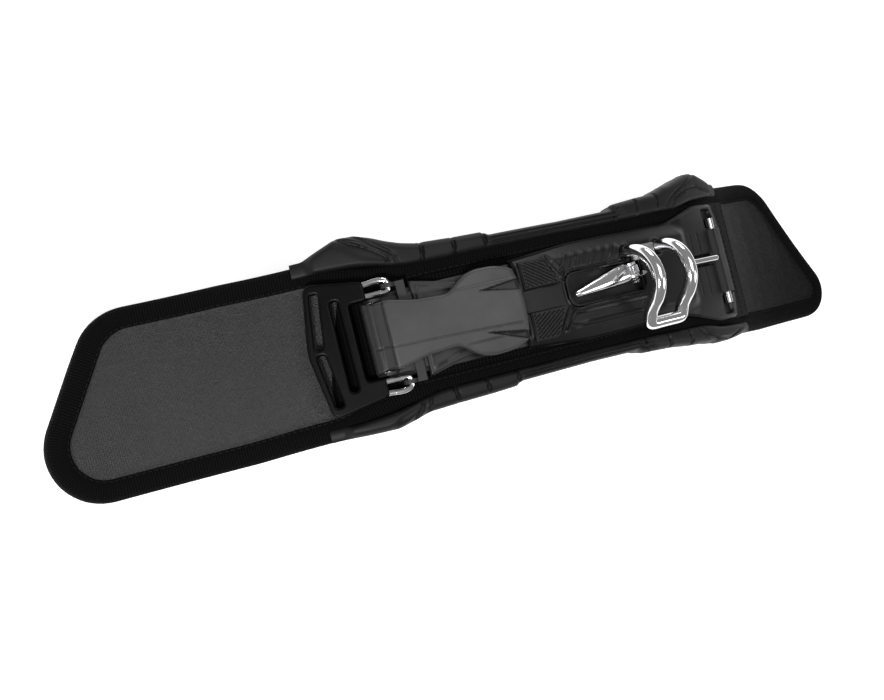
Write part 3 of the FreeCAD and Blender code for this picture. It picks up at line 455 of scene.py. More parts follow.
def plastic(name, dark, light, low, high, grain=0.00008, grain_scale=1800, **shader):
    """Moulded plastic: fine grain, handling marks and slightly uneven gloss."""
    material = surface(name, light, high, **shader)
    where = coordinates(material)
    tint(material, noise(material, where, 45, 5.0, 0.65), dark, light)
    roughen(material, noise(material, where, 120, 6.0, 0.75), low, high)
    bump(material, noise(material, where, grain_scale, 2.0), grain, 0.5)
    return material


def steel(name, color, low, high):
    """Steel with hairline scratches and faint smudges."""
    material = surface(name, color, low, Metallic=1.0)
    where = coordinates(material)
    stretched = node(material, "ShaderNodeMapping", Vector=where, Scale=(1, 14, 1)).outputs[0]
    roughen(material, noise(material, where, 70, 5.0, 0.7), low, high)
    bump(material, noise(material, stretched, 350, 4.0), 0.00002, 0.35)
    return material


MATERIALS = {
    "liner_mesh": knit_cloth("liner_mesh", 0.0030, grey(0.004), grey(0.020, 0.0205)),
    "border_knit": knit_cloth("border_knit", 0.0016, grey(0.0008), grey(0.0045, 0.0046)),
    "waist_knit": knit_cloth("waist_knit", 0.0021, grey(0.0006), grey(0.0045, 0.0046)),
    "woven_panel": woven_cloth("woven_panel", 0.38),
    # Same woven cloth with its gloss cut from 0.38 to 0.04, for the right wing: painted shade. At this grazing
    # view the wing would mirror the pale floor, and the low gloss makes it come out darker than the left wing.
    "painted_shade_panel": woven_cloth("painted_shade_panel", 0.04),
    "moulded_foam": foam_skin(),
    "webbing": knit_cloth("webbing", 0.0014, grey(0.006), grey(0.028, 0.0285)),
    "stitching": plastic("stitching", grey(0.0015), grey(0.0040), 0.6, 0.8,
                         Specular_IOR_Level=0.15),
    "stainless_plate": steel("stainless_plate", grey(0.56, 0.57), 0.24, 0.4),
    "blackened_plate": steel("blackened_plate", grey(0.030, 0.031), 0.34, 0.5),
    "stainless_rod": steel("stainless_rod", grey(0.72, 0.73), 0.10, 0.2),
    "polished_rod": steel("polished_rod", grey(0.74, 0.75), 0.07, 0.16),
    "spring_steel": steel("spring_steel", grey(0.4), 0.25, 0.4),
    "bar_plastic": plastic("bar_plastic", grey(0.0020), grey(0.0050, 0.0052), 0.34, 0.55,
                           Specular_IOR_Level=0.24),
    "grip_plastic": plastic("grip_plastic", grey(0.0020), grey(0.0050), 0.45, 0.62,
                            Specular_IOR_Level=0.35),
    "tray_plastic": plastic("tray_plastic", grey(0.0015), grey(0.0040), 0.3, 0.5,
                            Specular_IOR_Level=0.3),
    "base_plastic": plastic("base_plastic", grey(0.008), grey(0.015), 0.36, 0.52,
                            Specular_IOR_Level=0.35),
    "lever_plastic": plastic("lever_plastic", grey(0.024, 0.0245), grey(0.036, 0.0365), 0.36, 0.52,
                             0.00005, 900, Specular_IOR_Level=0.35),
    # Darker copy of the lever plastic. It colours the barrel end, and also the two wedge recesses, where the
    # darker colour is painted shade.
    "lever_barrel_and_wedge_shade": plastic("lever_barrel_and_wedge_shade", grey(0.007), grey(0.013), 0.36, 0.52,
                            0.00005, 900, Specular_IOR_Level=0.3),
    "buckle_plastic": plastic("buckle_plastic", grey(0.0010), grey(0.0026), 0.26, 0.42,
                              Specular_IOR_Level=0.07),
}


# ------------------------------------------------------------------ camera, light and floor

VIEW_RIGHT = Vector((0.8661045, -0.2434794, 0.4365555))
VIEW_UP = Vector((0.2090559, 0.9697400, 0.1260950))
VIEW_BACK = Vector((-0.4540469, -0.0179469, 0.8907970))
VIEW_FROM_CREST = Vector((-0.40065, -0.02691, 0.60278))


def camera():
    """Looks at the bar from its left, from above."""
    data = bpy.data.cameras.new("camera")
    data.lens = 50
    data.sensor_width = 36
    made = bpy.data.objects.new("camera", data)
    bpy.context.collection.objects.link(made)
    turn = Matrix((VIEW_RIGHT, VIEW_UP, VIEW_BACK)).transposed()
    made.matrix_world = Matrix.Translation(CREST + VIEW_FROM_CREST) @ turn.to_4x4()
    bpy.context.scene.camera = made


def soft_light(name, place, size, power):
    """Square lamp that faces the middle of the bar."""
    data = bpy.data.lights.new(name, "AREA")
    data.shape = "SQUARE"
    data.size = size
    data.energy = power
    made = bpy.data.objects.new(name, data)
    bpy.context.collection.objects.link(made)
    made.location = place
    made.rotation_euler = (Vector((0, 0, 0.05)) - Vector(place)).to_track_quat("-Z", "Y").to_euler()


def studio():
    """Pale dished floor, an even sky and four soft lamps."""
    pale = surface("floor", (0.93, 0.93, 0.93), 0.9, Emission_Color=(1, 1, 1, 1), Emission_Strength=0.5)
    tint(pale, noise(pale, coordinates(pale), 3, 2.0), (0.92, 0.92, 0.92), (0.94, 0.94, 0.94))
    mesh = bpy.data.meshes.new("floor")
    reach, rim = 4.0, 3.9
    ring = [(-reach, -reach), (reach, -reach), (reach, reach), (-reach, reach)]
    inner = [(-rim, -rim), (rim, -rim), (rim, rim), (-rim, rim)]
    points = [(x, y, 0.0) for x, y in inner] + [(x, y, 0.02) for x, y in ring]
    faces = [(0, 1, 2, 3)] + [(i, i + 4, (i + 1) % 4 + 4, (i + 1) % 4) for i in range(4)]
    mesh.from_pydata(points, [], faces)
    mesh.materials.append(pale)
    floor = bpy.data.objects.new("floor", mesh)
    bpy.context.collection.objects.link(floor)
    world = bpy.data.worlds.new("studio")
    world.use_nodes = True
    world.node_tree.nodes["Background"].inputs["Color"].default_value = (1, 1, 1, 1)
    world.node_tree.nodes["Background"].inputs["Strength"].default_value = 0.27
    bpy.context.scene.world = world
    bpy.context.scene.view_settings.view_transform = "Standard"
    soft_light("key", (-0.62, -0.30, 0.70), 0.16, 7.5)
    soft_light("top", (0.10, 0.20, 1.6), 0.9, 8)
    soft_light("fill", (0.9, -0.5, 0.9), 0.5, 5)
    soft_light("back", (0.3, 1.1, 0.5), 0.5, 5)


# ------------------------------------------------------------------ waist pad

PAD_CORNERS = {"upper_left": (-258.7, 52.5, 32.0), "upper_right": (221.5, 52.5, 34.0),
               "lower_right": (283.7, -52.5, 20.0), "lower_left": (-322.5, -52.5, 31.0)}
# (distance in from the edge, height) of the knit binding, from the stitches on top to those below
BINDING = [(12.6, 0.9), (11.6, 0.65), (10.4, 1.35), (8.0, 1.75), (5.0, 1.7), (2.6, 1.1), (0.9, -0.5),
           (0.15, -3.0), (0.0, -6.0), (0.25, -9.0), (1.2, -11.6), (3.4, -13.4), (7.0, -14.0), (11.6, -13.6),
           (12.6, -13.9)]
PAD_ROWS = 176
PAD_COLUMNS = 30
PUFF_UP = 2.6
PUFF_DOWN = 1.2
PUFF_STEPS = 20
FLOOR_GAP = 0.0002
TOP_HEIGHT = 0.95
CLOTH_SEAT = 0.55
LINING_HEIGHT = -13.9
CLOTH_LIFT = 0.45
LEFT_CLOTH_END, RIGHT_CLOTH_START = -151, 146
STITCH_RINGS = {"binding_stitches": (1, 0.25), "binding_stitches_below": (13, -0.2)}


def pad_half_width(x):
    """The wings narrow a little towards the waist, which the side rails cover."""
    return 41.5 + 9.0 * smooth(np.abs(x), 108, 152) + 2.0 * smooth(np.abs(x), 150, 215)


def pad_outline():
    """The pad's edge, anticlockwise from the middle of its upper right corner, in four runs."""
    edge = np.arange(-190, 191, 4.0)
    upper = [(x, float(pad_half_width(x)), 0) for x in edge[::-1]]
    lower = [(x, -float(pad_half_width(x)), 0) for x in edge]
    c = PAD_CORNERS
    outline = fillet([c["upper_right"], *upper, c["upper_left"], c["lower_left"], *lower, c["lower_right"]])
    straight = len(upper)
    starts = [0, ARC_POINTS + straight, 2 * ARC_POINTS + straight, 3 * ARC_POINTS + 2 * straight, len(outline)]
    outline = np.roll(outline, -ARC_MIDDLE, axis=0)
    closed = np.concatenate([outline, outline[:1]])
    counts = [PAD_ROWS, PAD_COLUMNS, PAD_ROWS, PAD_COLUMNS]
    runs = [resample(closed[a:b + 1], n)[:-1] for a, b, n in zip(starts, starts[1:], counts)]
    return np.concatenate(runs)


def pad_rings():
    """Flat (along, side, height) points of the binding, one ring for each point of its profile."""
    outline = pad_outline()
    ahead = np.roll(outline, -1, axis=0) - np.roll(outline, 1, axis=0)
    ahead /= np.linalg.norm(ahead, axis=1)[:, None]
    inward = np.stack([-ahead[:, 1], ahead[:, 0]], axis=1)
    rings = []
    for distance, height in BINDING:
        ring = outline + inward * distance
        rings.append(np.column_stack([along_of(ring[:, 0]), ring[:, 1], np.full(len(ring), height)]))
    return rings


def fill_grid(ring):
    """Grid spanned by a ring of four runs; its rows go from the ring's left to its right."""
    n, m = PAD_ROWS, PAD_COLUMNS
    upper = ring[:n + 1][::-1]
    left = ring[n:n + m + 1]
    lower = ring[n + m:2 * n + m + 1]
    right = np.concatenate([ring[2 * n + m:], ring[:1]])[::-1]
    s = np.linspace(0, 1, n + 1)[:, None, None]
    t = np.linspace(0, 1, m + 1)[None, :, None]
    ends = (1 - s) * left[None] + s * right[None]
    sides = (1 - t) * upper[:, None] + t * lower[:, None]
    corners = ((1 - s) * ((1 - t) * upper[0] + t * lower[0]) + s * ((1 - t) * upper[-1] + t * lower[-1]))
    return ends + sides - corners


def puff(made, pinned, caps):
    """Swells the loose part of a closed pad with a short cloth simulation; caps limits the movement."""
    mesh = made.data
    before = np.zeros(len(mesh.vertices) * 3)
    mesh.vertices.foreach_get("co", before)
    group = made.vertex_groups.new(name="pinned")
    group.add([int(i) for i in pinned], 1.0, "REPLACE")
    cloth = made.modifiers.new("swell", "CLOTH")
    cloth.settings.vertex_group_mass = "pinned"
    cloth.settings.use_pressure = True
    cloth.settings.uniform_pressure_force = 4
    cloth.settings.effector_weights.gravity = 0
    cloth.settings.quality = 5
    cloth.point_cache.frame_start = 1
    cloth.point_cache.frame_end = PUFF_STEPS
    for step in range(1, PUFF_STEPS + 1):
        bpy.context.scene.frame_set(step)
    swollen = made.evaluated_get(bpy.context.evaluated_depsgraph_get()).to_mesh()
    after = np.zeros_like(before)
    swollen.vertices.foreach_get("co", after)
    made.modifiers.remove(cloth)
    made.vertex_groups.remove(group)
    bpy.context.scene.frame_set(1)
    move = (after - before).reshape(-1, 3)
    size = np.linalg.norm(move, axis=1)
    keep = caps * np.tanh(size / np.maximum(caps, 1e-9)) / np.maximum(size, 1e-9)
    placed = before.reshape(-1, 3) + move * keep[:, None]
    placed[:, 2] = np.maximum(placed[:, 2], FLOOR_GAP)
    mesh.vertices.foreach_set("co", placed.ravel())
    mesh.update()
    return placed


def waist_pad():
    """The whole stuffed pad, closed: knit binding, top, and lining below."""
    rings = pad_rings()
    count = len(rings[0])
    top, low = fill_grid(rings[0]), fill_grid(rings[-1])
    rows, columns = top.shape[:2]
    sunk = smooth(np.abs(top[..., 0]), 149, 156)
    top[..., 2] = TOP_HEIGHT - CLOTH_SEAT * sunk
    low[..., 2] = LINING_HEIGHT
    flat = np.concatenate([np.concatenate(rings), top.reshape(-1, 3), low.reshape(-1, 3)])
    ring_of = np.repeat(np.arange(len(rings)), count)
    lengths = np.cumsum(np.linalg.norm(np.diff(rings[8], axis=0, append=rings[8][:1]), axis=1))
    across = np.concatenate([[0], np.cumsum(np.hypot(*np.diff(np.array(BINDING), axis=0).T))])
    ring_uv = np.column_stack([np.tile(lengths, len(rings)), across[ring_of]])
    uv = np.concatenate([ring_uv, top.reshape(-1, 3)[:, :2], low.reshape(-1, 3)[:, :2]]) * MM
    faces, kinds = [], []
    for r in range(len(rings) - 1):
        here, under = r * count, (r + 1) * count
        faces += [(here + i, under + i, under + (i + 1) % count, here + (i + 1) % count) for i in range(count)]
        kinds += [0] * count
    top_start = len(rings) * count
    low_start = top_start + rows * columns
    faces += grid_faces(rows, columns, top_start, flip=True).tolist()
    kinds += [1] * ((rows - 1) * (columns - 1))
    faces += grid_faces(rows, columns, low_start).tolist()
    kinds += [2] * ((rows - 1) * (columns - 1))
    weld = weld_map(count, rows, columns, top_start, low_start, (len(rings) - 1) * count)
    faces = [[weld.get(i, i) for i in face] for face in faces]
    keep = np.array(sorted({i for face in faces for i in face}))
    number = np.full(len(flat), -1)
    number[keep] = np.arange(len(keep))
    faces = [[int(number[i]) for i in face] for face in faces]
    pad = make("waist_pad", on_arch(*flat[keep].T), faces, "bar", "border_knit",
               ("waist_foam", "knit_cover", "body_liner"), uv[keep],
               ["border_knit", "waist_knit", "liner_mesh"], kinds, sharp=180)
    wing = smooth(np.abs(flat[:, 0]), 158, 185)
    loose = np.zeros((rows, columns), bool)
    loose[2:-2, 2:-2] = True
    caps = np.zeros(len(flat))
    caps[top_start:low_start] = np.where(loose.ravel(), wing[top_start:low_start] * PUFF_UP * MM, 0)
    caps[low_start:] = np.where(loose.ravel(), wing[low_start:] * PUFF_DOWN * MM, 0)
    caps = caps[keep]
    placed = on_arch(*flat[keep].T)
    placed = puff(pad, np.flatnonzero(caps == 0), caps)
    grid = np.array([number[weld.get(i, i)] for i in range(top_start, low_start)]).reshape(rows, columns)
    return rings, top, placed[grid]


def weld_map(count, rows, columns, top_start, low_start, last_ring):
    """Border points of the two grids mapped onto the first and last ring."""
    n, m = rows - 1, columns - 1
    ring_place = {}
    for i in range(n + 1):
        ring_place[(i, 0)] = n - i
        ring_place[(i, m)] = n + m + i
    for j in range(m + 1):
        ring_place[(0, j)] = n + j
        ring_place[(n, j)] = (2 * n + m + (m - j)) % count
    weld = {}
    for (i, j), place in ring_place.items():
        weld[top_start + i * columns + j] = place
        weld[low_start + i * columns + j] = last_ring + place
    return weld


def wing_cloth(name, flat, placed, first, last, node_name, material):
    """Woven panel stretched over one wing, just above the stuffed pad."""
    rows = slice(first, last + 1)
    chosen = flat[rows]
    points = placed[rows]
    ahead = np.gradient(points, axis=0)
    over = np.gradient(points, axis=1)
    normal = np.cross(over, ahead)
    normal /= np.linalg.norm(normal, axis=2)[..., None]
    normal *= np.sign(normal[..., 2:3])
    lifted = points + normal * CLOTH_LIFT * MM
    faces = grid_faces(*chosen.shape[:2], flip=True)
    cloth = make(name, lifted, faces, "bar", "woven_panel", (node_name,), chosen[..., :2] * MM, [material],
                 sharp=180)


def pad_and_cloths():
    """The stuffed pad, the woven cloths of its wings and the stitches along its binding."""
    rings, flat, placed = waist_pad()
    middle = flat[:, flat.shape[1] // 2, 0]
    left_end = int(np.searchsorted(middle, LEFT_CLOTH_END))
    right_start = int(np.searchsorted(middle, RIGHT_CLOTH_START))
    wing_cloth("left_wing_cloth", flat, placed, 0, left_end, "left_wing_panel", "woven_panel")
    # The right wing takes the low-gloss copy of the cloth, which darkens it as painted shade.
    wing_cloth("right_wing_cloth", flat, placed, right_start, len(middle) - 1, "right_wing_panel",
               "painted_shade_panel")
    for name, (ring, lift) in STITCH_RINGS.items():
        line = rings[ring] + np.array([0, 0, lift])
        stitch_row(name, np.concatenate([line, line[:1]]), 3.6, "border_knit")


# ------------------------------------------------------------------ side rails

RAIL_END = 152.8
RAIL_EDGE_UPPER = [
    (-152.8, 52.0), (-146, 55.0), (-132, 60.0), (-122, 59.6), (-112, 56.0), (-104.9, 52.6), (-97, 49.6),
    (-88, 47.4), (-85, 47.4), (-66, 46.2), (-48.6, 45.6), (-46.6, 43.4), (0, 42.8), (40.6, 43.6),
    (42.6, 46.6), (61, 48.2), (80, 49.4), (91, 53.0), (97, 54.0), (110, 57.0), (120, 59.4), (130, 60.0),
    (142, 56.0), (152.8, 52.0)]
RAIL_EDGE_LOWER = [
    (-152.8, 50.4), (-138, 51.2), (-122, 51.6), (-112, 49.2), (-103, 46.6), (-85, 45.8), (-67, 45.4),
    (-50, 44.6), (-48, 42.6), (0, 42.0), (36, 42.6), (38, 44.8), (66, 46.2), (82, 48.0), (97, 49.0),
    (108, 49.4), (111, 51.2), (126, 51.4), (140, 50.8), (152.8, 49.8)]
RAIL_INNER = [
    (-152.8, 43.6), (-136, 43.0), (-123, 42.2), (-110, 39.6), (-100, 36.6), (-89, 36.0), (-42, 35.6),
    (0, 35.4), (40, 35.8), (70, 37.0), (100, 38.0), (116, 41.4), (140, 43.0), (152.8, 43.6)]
# (distance in from the outer edge, height) down the outside of the foam
RAIL_WALL = [(0.0, -2.6), (0.6, -5.0), (0.9, -8.0), (1.3, -11.0), (2.6, -13.0), (5.0, -13.8)]
# grooves across the raised segments, as (along at the outer edge, along at the inner edge)
SEGMENT_GROOVES = [(-84.8, -87.6), (-66.4, -69.0), (-48.1, -50.4), (43.0, 40.4), (61.0, 58.4), (80.7, 78.4)]
FOLDS = [[(-133, 60), (-126.6, 56), (-121.6, 53.6), (-113.2, 48.7), (-107.1, 43.8), (-105.5, 35)],
         [(-127, 61), (-119, 56.6), (-109.5, 50.2), (-102.4, 44.0), (-100.6, 35)],
         [(152, 44), (140, 46.5), (126, 50.0), (112, 48.5), (98, 43.5), (92, 37)],
         [(133, 60), (121, 56), (108, 50.5), (96, 45.5), (88, 40)]]


def side_rail(name, side, edge, node_name):
    """Moulded foam rail: domed raised segments, a slim waist with two flutes, and folded bulges."""
    along = samples(-along_of(RAIL_END), along_of(RAIL_END), 0.8)
    outer = even_out(np.interp(along, *zip(*edge)), 2)
    inner = even_out(np.interp(along, *zip(*RAIL_INNER)), 10)
    across = np.concatenate([samples(0, 0.3, 0.025), samples(0.3, 0.7, 0.05)[1:], samples(0.7, 1, 0.03)[1:]])
    u = np.repeat(along[:, None], len(across), axis=1)
    y = inner[:, None] + (outer - inner)[:, None] * across[None]
    slim = 1 - smooth(np.abs(along), 44, 49)
    crown = (5.0 - 0.9 * slim)[:, None] + 0.5 * np.sin(across * math.pi)[None]
    inner_round, outer_round = 2.6, 4.4
    shape = crown - inner_round * round_off(y - inner[:, None], inner_round)
    shape -= outer_round * round_off(outer[:, None] - y, outer_round)
    notch = np.zeros_like(along)
    for outer_at, inner_at in SEGMENT_GROOVES:
        shape += line_groove(u, y, [(outer_at + 1.2, 64), (inner_at, 33)], 2.2, 2.2)
        notch += 0.9 * (1 - smooth(np.abs(along - outer_at - 0.3), 0.4, 1.3))
    for share in (0.36, 0.66):
        gap = np.abs(across - share)[None] * (outer - inner)[:, None]
        shape -= slim[:, None] * 0.9 * (1 - smooth(gap, 0.3, 0.9))
    for fold in FOLDS:
        shape += line_groove(u, y, fold, 2.0, 1.2)
    hollow = inside(u, y, [(-103, 38), (-103, 49), (-128, 60), (-136, 56), (-120, 44)])
    shape -= 0.9 * smooth(hollow, 0, 3)
    taper = smooth(RAIL_END - np.abs(along), 0, 7)[:, None]
    foot = SKIN + 0.3
    shape = foot + (shape - foot) * (0.35 + 0.65 * taper)
    profile_y = [inner[:, None] + 0.05, y]
    profile_h = [np.full((len(along), 1), SKIN - 0.6), shape]
    for back, height in RAIL_WALL:
        profile_y.append((outer - notch)[:, None] - back)
        profile_h.append(np.full((len(along), 1), height))
    profile_y.append(np.minimum(outer, 40.0)[:, None])
    profile_h.append(np.full((len(along), 1), -13.4))
    y, h = np.concatenate(profile_y, axis=1), np.concatenate(profile_h, axis=1)
    u = np.repeat(along[:, None], y.shape[1], axis=1)
    points = on_arch(u, y * side, h)
    rows, columns = u.shape
    starts = [row * columns for row in range(rows)]
    underside = [[a, a + columns - 1, b + columns - 1, b][::side] for a, b in zip(starts, starts[1:])]
    ends = [list(range(columns))[::side], list(range(starts[-1], starts[-1] + columns))[::-side]]
    faces = [*grid_faces(rows, columns, flip=side < 0).tolist(), *underside, *ends]
    flat = np.stack([u, y], axis=-1) * MM
    rail = make(name, points, faces, "bar", "moulded_foam", (node_name,), flat, sharp=50)


SEAM_START, SEAM_END = 142, 168
SEAM_HALF = 39
SEAM_ROWS = (144.5, 155.0, 165.5)


def seam_strip():
    """Wide folded webbing sewn across the root of the right wing, with three rows of stitches."""
    along = rimmed_samples(SEAM_START, SEAM_END, 1.5, 0.3, 1.0)
    u, y = np.meshgrid(along, samples(-SEAM_HALF, SEAM_HALF, 1.0), indexing="ij")
    top = SKIN + 1.4 - 0.8 * (1 - smooth(np.minimum(u - SEAM_START, SEAM_END - u), 0, 1.2))
    strip = relief("seam_strip_webbing", u, y, top, SKIN - 0.6, "bar", "webbing", ("seam_strip",), sharp=60)
    for k, at in enumerate(SEAM_ROWS):
        line = [(at, -SEAM_HALF + 1, SKIN + 1.45), (at, SEAM_HALF - 1, SKIN + 1.45)]
        stitch_row("seam_stitches_%d" % k, line, 3.4, "webbing")


# ------------------------------------------------------------------ cover and grips

COVER_HALF = [(-39, 26), (0, 29), (80, 29), (118, 38), (140.5, 38)]
LOWER_PANEL = [(-9.5, -10.6), (49, -10.6), (38, -21.2), (-18.6, -21.2)]
WINDOWS = [[(123, 21.5), (136.5, 21.5), (136.5, 34.5), (123, 34.5)],
           [(123, -34.5), (136.5, -34.5), (136.5, -21.5), (123, -21.5)]]
CHEVRONS = [[(-20.6, 22.6), (-11.6, 8.4)], [(-17.4, 23.4), (-8.2, 9.4)],
            [(-20.6, -22.6), (-11.6, -8.4)], [(-17.4, -23.4), (-8.2, -9.4)]]
HOOK_FEET = [(34, 15.7), (61, 15.7)]
TRAY = [(-10.5, -9), (46, -9), (46, 11), (-10.5, 11)]
PIN_SIDE = 2
RIBS, RIB_PITCH = 8, 6.4
COVER_UNDERSIDE = 3.3


def rounded_depth(u, y, corners, radius):
    """Signed distance into a box, with round corners."""
    (left, low), (right, high) = corners[0], corners[2]
    x_out = np.abs(u - (left + right) / 2) - ((right - left) / 2 - radius)
    y_out = np.abs(y - (low + high) / 2) - ((high - low) / 2 - radius)
    past_corner = np.hypot(np.maximum(x_out, 0), np.maximum(y_out, 0))
    return radius - past_corner - np.minimum(np.maximum(x_out, y_out), 0)


def bar_cover():
    """Moulded cover: spine, chevrons, a framed panel, ribs, windows and the recess of the finger."""
    start, end = COVER_HALF[0][0], COVER_HALF[-1][0]
    along = np.concatenate([samples(start, start + 1.5, 0.3), samples(start + 1.5, 92, 0.62)[1:],
                            samples(92, end, 0.6)[1:]])
    across = rimmed_samples(-1, 1, 0.07, 0.012, 0.0225)
    u = np.repeat(along[:, None], len(across), axis=1)
    half = even_out(np.interp(along, *zip(*COVER_HALF)), 8)
    y = half[:, None] * across[None]
    out = np.abs(y)
    top = 10.4 - 5.6 * smooth(out, 19.5, 29.5) ** 0.9
    tail = smooth(u, 86, 97)
    top = top * (1 - tail) + (6.6 - 1.4 * smooth(out, 24, 38)) * tail
    top += 2.4 * (1 - smooth(u, 94, 98)) * (1 - smooth(np.abs(y - PIN_SIDE), 6.5, 10.5)) * tail
    top += 3.0 * smooth(u, 123.5, 127.5) * (1 - smooth(u, 135, 139.5)) * (1 - smooth(out, 21.5, 23.5))
    top -= 1.6 * (1 - smooth(half[:, None] - out, 0, 1.6)) + 1.2 * (1 - smooth(u, start, start + 1.4))
    grip_zone = (1 - smooth(u, -21, -10)) * smooth(out, 6.2, 6.9)
    top -= 0.9 * grip_zone
    for line in CHEVRONS:
        near = near_line(u, y, line)
        top += 1.3 * (1 - smooth(near, 0.5, 1.0))
    frame_depth = inside(u, y, LOWER_PANEL)
    top += 0.35 * smooth(frame_depth, -0.3, 0.3)
    for inset in (0.9, 2.5):
        top -= 0.55 * (1 - smooth(np.abs(frame_depth - inset), 0.2, 0.65))
    for k in range(RIBS):
        rib = -7 + k * RIB_PITCH
        near = near_line(u, y, [(rib, 21.8), (rib - 4.4, 13.4)])
        top += 0.9 * (1 - smooth(near, 0.8, 1.5))
    top -= 0.7 * (1 - smooth(np.abs(rounded_depth(u, y, TRAY, 6) + 1.6), 0.3, 0.9)) * (u < 30)
    top -= 6.8 * smooth(rounded_depth(u, y, TRAY, 6), -0.5, 0.1)
    for window in WINDOWS:
        top -= 4.2 * smooth(rounded_depth(u, y, window, 2), -0.2, 0.4)
    channel = smooth(u, 97.5, 99) * (1 - smooth(u, 121, 123)) * (1 - smooth(np.abs(y - PIN_SIDE), 2.6, 4.2))
    top -= 2.6 * channel
    for foot_along, foot_side in HOOK_FEET:
        reach = np.hypot(u - foot_along, y - foot_side)
        top = np.where(reach < 6.4, np.maximum(top, 9.2) + 0.8 * (1 - smooth(reach, 5.4, 6.2)), top)
        top -= 1.6 * (1 - smooth(reach, 4.2, 4.7))
    ridge = np.minimum(np.abs(u - 101), np.abs(u - 110))
    top -= 0.5 * (1 - smooth(ridge, 0.3, 0.8)) * (out < 20)
    relief("bar_cover_shell", u, y, top, COVER_UNDERSIDE, "bar", "bar_plastic", ("bar_cover",), sharp=38)


GRIP_START = -36.2
GRIP_LOW, GRIP_HIGH = 6.8, 23.2
GRIP_UNDERSIDE = 7.6
HATCH_PITCH = 2.1


def grip(name, side, node_name):
    """Grip pad with crossing grooves, cut on a slant at its end."""
    s, t = np.meshgrid(samples(0, 1, 0.012), samples(0, 1, 0.017), indexing="ij")
    y = GRIP_LOW + t * (GRIP_HIGH - GRIP_LOW)
    end = -13.4 - 8.6 * t
    u = GRIP_START + s * (end - GRIP_START)
    rim = np.minimum(np.minimum(u - GRIP_START, end - u), np.minimum(y - GRIP_LOW, GRIP_HIGH - y))
    one = np.abs(((u * 0.7 + y) / HATCH_PITCH) % 1 - 0.5) * HATCH_PITCH
    two = np.abs(((u * 0.7 - y) / HATCH_PITCH) % 1 - 0.5) * HATCH_PITCH
    cut = np.maximum(1 - smooth(one, 0.15, 0.5), 0.45 - 0.45 * smooth(two, 0.15, 0.5))
    top = 11.7 - 0.8 * cut * smooth(rim, 0.9, 1.4) - 1.1 * (1 - smooth(rim, 0, 0.8))
    top -= 2.3 * smooth(y, 19.2, 27.5)
    relief(name, u, y * side, top, GRIP_UNDERSIDE, "bar", "grip_plastic", (node_name,), sharp=30)


# ------------------------------------------------------------------ lever and buckle

LEVER_HALF = [(-127.2, 19.3), (-112, 19.3), (-106, 17.8), (-98, 15.9), (-81, 14.8), (-78, 15.6), (-72.5, 20.2),
              (-67, 23.6), (-61, 24.8), (-50, 24.2), (-40, 20.6)]
LEVER_START = -127.2
LEVER_LENGTH = 87
BARREL_ALONG, BARREL_LEVEL, BARREL_RADIUS = -121, 11.2, 6.2
BARREL_END = -115.6
LEVER_TOP, LEVER_UNDERSIDE = 16.6, 8.9
LEVER_SEAM = [(-126.6, -6.1), (-44.3, -10.3)]
WEDGES = [[(-65.3, 12.0), (-41.2, 7.6), (-40.6, 14.6)], [(-68.1, -10.7), (-42.4, -20.4), (-41.7, -15.4)]]


def lever():
    """Over-centre lever: round barrel, slim waist and a flared grip with two wedge recesses."""
    share = rimmed_samples(0, 1, 0.03, 0.003, 0.0062)
    s, v = np.meshgrid(share, rimmed_samples(-1, 1, 0.12, 0.012, 0.0205), indexing="ij")
    right_end = -39.8 - 2.2 * v * v
    u = LEVER_START + s * (right_end - LEVER_START)
    widths = even_out(np.interp(LEVER_START + share * LEVER_LENGTH, *zip(*LEVER_HALF)), 5)
    y = widths[:, None] * v
    rim = widths[:, None] * (1 - np.abs(v))
    top = LEVER_TOP - 2.0 * round_off(rim, 2.0)
    top += 0.5 * (1 - v * v)
    barrel = BARREL_LEVEL + np.sqrt(np.clip(BARREL_RADIUS ** 2 - (u - BARREL_ALONG) ** 2, 0, None))
    raised = top + 0.8 * (1 - smooth(u, BARREL_ALONG, -114.5))
    top = np.where(u < BARREL_ALONG, np.minimum(top + 0.8, barrel), raised)
    top += line_groove(u, y, [(BARREL_END, -20), (BARREL_END, 20)], 1.1, 0.6)
    top += line_groove(u, y, LEVER_SEAM, 0.9, 0.45)
    top -= 0.8 * smooth(np.abs(y), 14.6, 16.2) * smooth(u, -80, -72)
    # dark marks the faces that get the darker lever colour: the barrel end, and the wedge recesses below,
    # which are darkened as painted shade in the hollows.
    dark = u < BARREL_END
    for wedge in WEDGES:
        depth = inside(u, y, wedge)
        top -= 1.5 * smooth(depth, -0.1, 0.9)
        dark = np.maximum(dark, depth > 0.1)
    top -= 2.2 * round_off(right_end - u, 3.2)
    left_of_pin = np.minimum(u, BARREL_ALONG) - BARREL_ALONG
    below_barrel = BARREL_LEVEL - np.sqrt(np.clip(BARREL_RADIUS ** 2 - left_of_pin ** 2, 0, None))
    step = 5.0 + 3.9 * smooth(u, -118, -115)
    bottom = np.where(u < BARREL_ALONG, below_barrel, np.where(u < -115, step, LEVER_UNDERSIDE))
    relief("lever_grip", u, y, top, np.minimum(bottom, top), "lever", "lever_plastic", ("lever",), sharp=40,
           materials=["lever_plastic", "lever_barrel_and_wedge_shade"], kinds=dark.astype(int))


BASE_HALF = [(-98.4, 27.2), (-88, 24.4), (-72, 20.8), (-65.6, 19.2)]
BASE_TOP, BASE_UNDERSIDE = 6.5, 3.2


